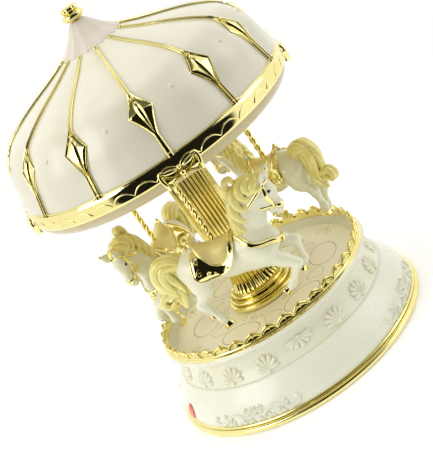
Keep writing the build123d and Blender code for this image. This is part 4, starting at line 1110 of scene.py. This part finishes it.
def build_tack_mesh(surface):
    """One horse's gilt tack: saddle, border, breast strap and bridle, all laid on its skin."""
    piece = Piece()

    def touch(target, direction, lift=0.0):
        """The point where a ray from outside, toward a target, meets the skin, and the outward normal there."""
        way = Vector(direction).normalized()
        place, normal, *_ = surface.ray_cast(Vector(target) + way * 25, -way)
        if place is None:
            return np.array(target, float), np.array(way)
        if normal.dot(way) < 0:
            normal = -normal
        return np.array(place + way * lift), np.array(normal)

    def on_back(x, angle, lift=0.0):
        """A point on the trunk, at an angle from straight up."""
        a = radians(angle)
        return touch((x, 0, -6.6 - 0.2 * (x + 5)), (0, sin(a), cos(a)), lift)

    def softened(values, rounds=2):
        values = np.array(values, float)
        for _ in range(rounds):
            values[1:-1] = (values[:-2] + 2 * values[1:-1] + values[2:]) / 4
        return values

    def strap(hits, width, depth, sides=8, edged=False):
        """A strap through points on the skin, with a bead along each edge if it is edged."""
        path = softened([hit[0] for hit in hits])
        up = unit(softened([hit[1] for hit in hits], 4))
        piece.add(strand(path, width, depth, up, sides))
        if edged:
            across = unit(np.cross(unit(np.gradient(path, axis=0)), up))
            for side in (-1, 1):
                piece.add(strand(path + side * across * width + up * 0.12, 0.26, 0.34, up, 7))

    turns = np.arange(0, 132, 3.0)

    def angle_at(x, z):
        """How far round the trunk its skin is at height z."""
        heights = [on_back(x, turn)[0][2] for turn in turns]
        return np.interp(-z, -np.minimum.accumulate(heights), turns)

    def side_line(points):
        """A line on the horse's side as evenly spaced (x, z) points, with the angle round the trunk of each."""
        line = smooth(points, 6)
        length = np.append(0, np.cumsum(np.linalg.norm(np.diff(line, axis=0), axis=1)))
        share = np.linspace(0, length[-1], 25)
        line = np.stack([np.interp(share, length, line[:, k]) for k in (0, 1)], -1)
        return line, softened([angle_at(x, z) for x, z in line], 3)

    def stand_off(z):
        """How much further the band's outer edge stands off where the trunk curves in under it."""
        return 1.3 * np.clip((-3.5 - z) / 4.5, 0, 1)

    # the flap: a bright band along each side, from the cantle down and up to the pommel
    outer, outer_turn = side_line([
        (-10.4, 1.6), (-12.0, -2.8), (-12.6, -7.3), (-7.5, -8.9), (-1.0, -9.9), (3.6, -8.0), (6.3, -4.0),
        (8.9, 1.2),
    ])
    inner, inner_turn = side_line([
        (-8.6, 2.0), (-7.2, -0.4), (-5.9, -2.9), (-4.0, -5.6), (-0.3, -7.0), (2.9, -5.7), (5.0, -2.2), (7.4, 1.6),
    ])
    for side in (-1, 1):
        rows = []
        for (xo, zo), ao, (xi, _), ai in zip(outer, outer_turn, inner, inner_turn):
            stand = stand_off(zo)
            shares = (0, 0.12, 0.3, 0.5, 0.7, 0.88, 1.0)
            lifts = (
                0.25 + stand, 0.55 + stand, 0.5 + 0.7 * stand, 0.55 + 0.45 * stand, 0.6 + 0.2 * stand, 0.75, 0.4,
            )
            around = [*zip(shares, lifts), *((share, -0.6) for share in shares[::-1])]
            rows.append([on_back(xo + (xi - xo) * t, side * (ao + (ai - ao) * t), lift)[0] for t, lift in around])
        piece.add(sheet(rows))
        for line, around, apart in ((outer, outer_turn, 1.0), (inner, inner_turn, 0.0)):
            edge = [on_back(x, side * a, 0.55 + apart * stand_off(z)) for (x, z), a in zip(line, around)]
            strap(edge, 0.36, 0.42)
        # scrolls at the rear corner, and studs
        for x, z, reach, start in ((-10.0, -5.4, 1.7, 60), (-9.2, -1.6, 1.2, 200), (-7.0, -7.2, 1.1, 0)):
            scroll = zip(*spiral((x, z), reach, start, 1.25, 0.2, 12))
            hits = [on_back(a, side * angle_at(a, b), 0.7 + 0.75 * stand_off(b)) for a, b in scroll]
            strap(hits, 0.34, 0.42, 6)
        for x, z in ((-4.6, -8.1), (0.6, -8.5), (5.6, -4.4)):
            place, _ = on_back(x, side * angle_at(x, z), 0.6 + 0.75 * stand_off(z))
            piece.add(ball(place, (0.55, 0.45, 0.55), 7, 10))

    # the seat: a matte pad between the two bands, raised at the cantle and at the pommel
    top, under = [], []
    for (x, _), turn in zip(inner, inner_turn):
        middle_x = -9.9 + (x + 8.6) * 18.4 / 16.0
        cantle = 1.9 * np.clip((-5.0 - middle_x) / 4.6, 0, 1) ** 1.5
        pommel = 0.9 * np.clip((middle_x - 5.4) / 3.2, 0, 1) ** 1.5
        raised = 0.25 + cantle + pommel
        across = [
            (x + (middle_x - x) * (1 - abs(c)) ** 0.8, c * turn, 0.55 + raised * cos(c * pi / 2) ** 0.9)
            for c in np.linspace(-1, 1, 27)
        ]
        top.append([on_back(here, angle, lift)[0] for here, angle, lift in across])
        under.append([on_back(here, angle, -0.6)[0] for here, angle, _ in across])
    top, under = np.array(top), np.array(under)
    for _ in range(2):
        top = softened(softened(top, 1).transpose(1, 0, 2), 1).transpose(1, 0, 2)
    piece.add(sheet(np.concatenate((top, under[:, ::-1]), 1)), 1)
    for edge, width in ((top[0], 0.55), (top[-1], 0.6)):
        path = smooth(edge[::3], 3)
        piece.add(strand(path, spread(len(path), 0.4, width, 0.75, width, 0.4), sides=10))
        piece.add(ball(edge[13] + (0, 0, 0.6), (0.8, 0.9, 0.8)))

    # the breast strap, from the pommel round the chest, with a fringe
    chest_line = smooth([
        (8.4, 0.2, 0), (11.5, -3.2, 0), (15.5, -6.6, 0), (19.0, -9.0, 20), (18.8, -10.4, 55), (18.5, -11.0, 90),
    ], 6)
    for side in (-1, 1):
        ways = [(sin(turn), side * cos(turn), 0) for turn in np.radians(chest_line[:, 2])]
        strap([touch((x, 0, z), way, 0.3) for (x, z, _), way in zip(chest_line, ways)], 0.85, 0.3, edged=True)
    chest, _ = touch((18, 0, -11.4), (1, 0, 0), 0.6)
    piece.add(ball(chest, (0.7, 1.2, 1.0)))
    for k in range(-3, 4):
        steps = ((0.1, 0.35 * k, -0.2), (0.2, 0.62 * k, -1.5), (-0.2, 0.75 * k, -2.7 + 0.12 * k * k))
        piece.add(strand(smooth(chest + np.array(steps), 4), (0.3, *[0.42] * 7, 0.25), sides=7))

    # the bridle: a nose band, a brow band and two cheek straps with bosses, and the tassels at the ears
    nose, brow = (28.4, 2.2), (28.2, 11.8)
    for target, tilt, width in (((28.8, 0, 2.0), -0.3, 0.8), ((28.3, 0, 11.6), 0.5, 0.7)):
        ring = [touch(target, (cos(a), sin(a), tilt * cos(a)), 0.2) for a in np.linspace(0, tau, 33)]
        strap(ring, width, 0.3, 10)
    for side in (-1, 1):
        cheek = smooth([brow, (27.3, 8.6), (27.4, 5.4), nose], 5)
        strap([touch((x, 0, z), (0.25, side, 0), 0.2) for x, z in cheek], 0.75, 0.3, 10)
        for x, z in (brow, nose):
            boss, _ = touch((x, 0, z), (0.25, side, 0), 0.35)
            piece.add(ball(boss, (0.8, 0.5, 0.8), 7, 12))
        piece.add(ball((33.7, 3.3 * side, 17.3), (0.7, 0.6, 0.8), 7, 10))
    piece.add(ball((26.0, 0, -1.6), (0.8, 0.8, 1.0)))
    piece.add(ball((26.0, 0, -0.6), (0.6, 0.6, 0.6)))
    return piece.mesh("tack", [GILT, SATIN_GILT], sharp=60)


def build_horses():
    """Three horses from one mould, each at its own height and turned a little its own way."""
    horse, surface = build_horse_mesh()
    tack = build_tack_mesh(surface)
    for k in range(3):
        azimuth = radians(FIRST_HORSE_AZIMUTH + 120 * k)
        heading = azimuth + radians(HORSE_TURNS[k])
        place = Vector((HORSE_CIRCLE * sin(azimuth), -HORSE_CIRCLE * cos(azimuth), SADDLE_HEIGHTS[k])) * MM
        matrix = Matrix.Translation(place) @ Matrix.Rotation(heading, 4, "Z")
        show(f"horse_{k + 1}_figure", horse, "carousel", "ivory", f"horse_{k + 1}", matrix=matrix)
        show(f"horse_{k + 1}_tack", tack, "carousel", "gilt", f"saddle_{k + 1}", matrix=matrix)


def paint_frame_nodes():
    """Gives every frame node that still shows a worked material in place of its flat one."""
    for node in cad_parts.values():
        for holder in node.material_slots:
            kind = holder.material.name.split(".")[0] if holder.material else ""
            holder.material = BY_SLOT.get(kind, STEEL)


# ---- studio ----
def build_studio():
    """A pale floor, a bright tent that is dark on the camera's side, and soft lights."""
    pale = finish("pale_floor", (0.93, 0.93, 0.93), (0.91, 0.91, 0.91), roughness=(0.6, 0.7), cloud=4.0,
                  Emission_Color=(1, 1, 1), Emission_Strength=0.2)
    floor = Piece().add(turned([(0, -0.3), (260, -0.3), (260, -0.01), (180, -0.01), (90, -0.01), (0, -0.01)], 96))
    stand = bpy.data.objects.new("floor", floor.mesh("floor", [pale]))
    bpy.context.scene.collection.objects.link(stand)
    stand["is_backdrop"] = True

    world = bpy.data.worlds.new("tent")
    bpy.context.scene.world = world
    tree = Tree(world)
    direction = tree.nodes.new("ShaderNodeSeparateXYZ")
    tree.feed(direction, Vector=tree.add("TexCoord", "Generated"))
    rays = tree.nodes.new("ShaderNodeLightPath").outputs

    def band(axis, low, high):
        """Rises smoothly from 0 to 1 as the direction's share along an axis goes from low to high."""
        node = tree.nodes.new("ShaderNodeMapRange")
        node.interpolation_type = "SMOOTHSTEP"
        tree.feed(node, Value=direction.outputs[axis], From_Min=low, From_Max=high)
        return node.outputs["Result"]

    def grey(level):
        return level, level, level * 0.985

    # dark toward -Y, the camera's side, within a wide cone and not high up
    both_bands = tree.nodes.new("ShaderNodeMath")
    both_bands.operation = "MULTIPLY"
    for socket, value in zip(both_bands.inputs, (band("Y", -0.52, -0.62), band("Z", 0.86, 0.78))):
        tree.links.new(value, socket)
    dark = both_bands.outputs["Value"]
    mirrored = tree.mix(band("Z", 0.74, 0.86), tree.mix(dark, grey(1.05), grey(0.012)), grey(0.14))
    soft = tree.mix(dark, tree.mix(band("Z", -0.3, 0.9), grey(0.56), grey(0.95)), grey(0.42))
    lit = tree.mix(rays["Is Diffuse Ray"], mirrored, soft)
    tree.feed(tree.nodes["Background"], Color=tree.mix(rays["Is Camera Ray"], lit, grey(1.0)))

    middle = Vector((0, 0, 0.09))
    for name, place, size, power in (
        ("left_box", (-0.55, -0.25, 0.45), 0.45, 1.6),
        ("right_box", (0.6, -0.1, 0.35), 0.35, 0.5),
        ("top_box", (0.05, 0.1, 0.75), 0.5, 0.6),
    ):
        light = bpy.data.lights.new(name, "AREA")
        light.size, light.energy = size, power
        lamp = bpy.data.objects.new(name, light)
        lamp.location = place
        lamp.rotation_euler = (middle - Vector(place)).to_track_quat("-Z", "Y").to_euler()
        bpy.context.scene.collection.objects.link(lamp)


def build_camera():
    """From the front and a little above, rolled so that the box leans to the left."""
    camera = bpy.data.objects.new("camera", bpy.data.cameras.new("camera"))
    camera.data.lens = 92.96
    camera.data.sensor_width = 36.0
    pitch, roll = 19.65, 35.0
    tilt = Matrix.Rotation(radians(90 - pitch), 4, "X") @ Matrix.Rotation(radians(-roll), 4, "Z")
    camera.matrix_world = Matrix.Translation((-0.00096, -0.4587, 0.2295)) @ tilt
    bpy.context.scene.collection.objects.link(camera)
    bpy.context.scene.camera = camera
    bpy.context.scene.view_settings.view_transform = "Standard"


build_camera()
build_studio()
build_foot_ring()
build_base_shell()
build_palmettes()
build_scroll_vines()
build_button()
build_deck()
build_crown_gallery()
build_column()
build_roof()
build_finial()
build_band()
build_rim_ornaments()
build_ribs()
build_studs()
build_poles()
build_horses()
paint_frame_nodes()

boxes = {"cad": CAD_BOX, "visual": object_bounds()}
{name: [[float(x) for x in corner] for corner in box] for name, box in boxes.items()}
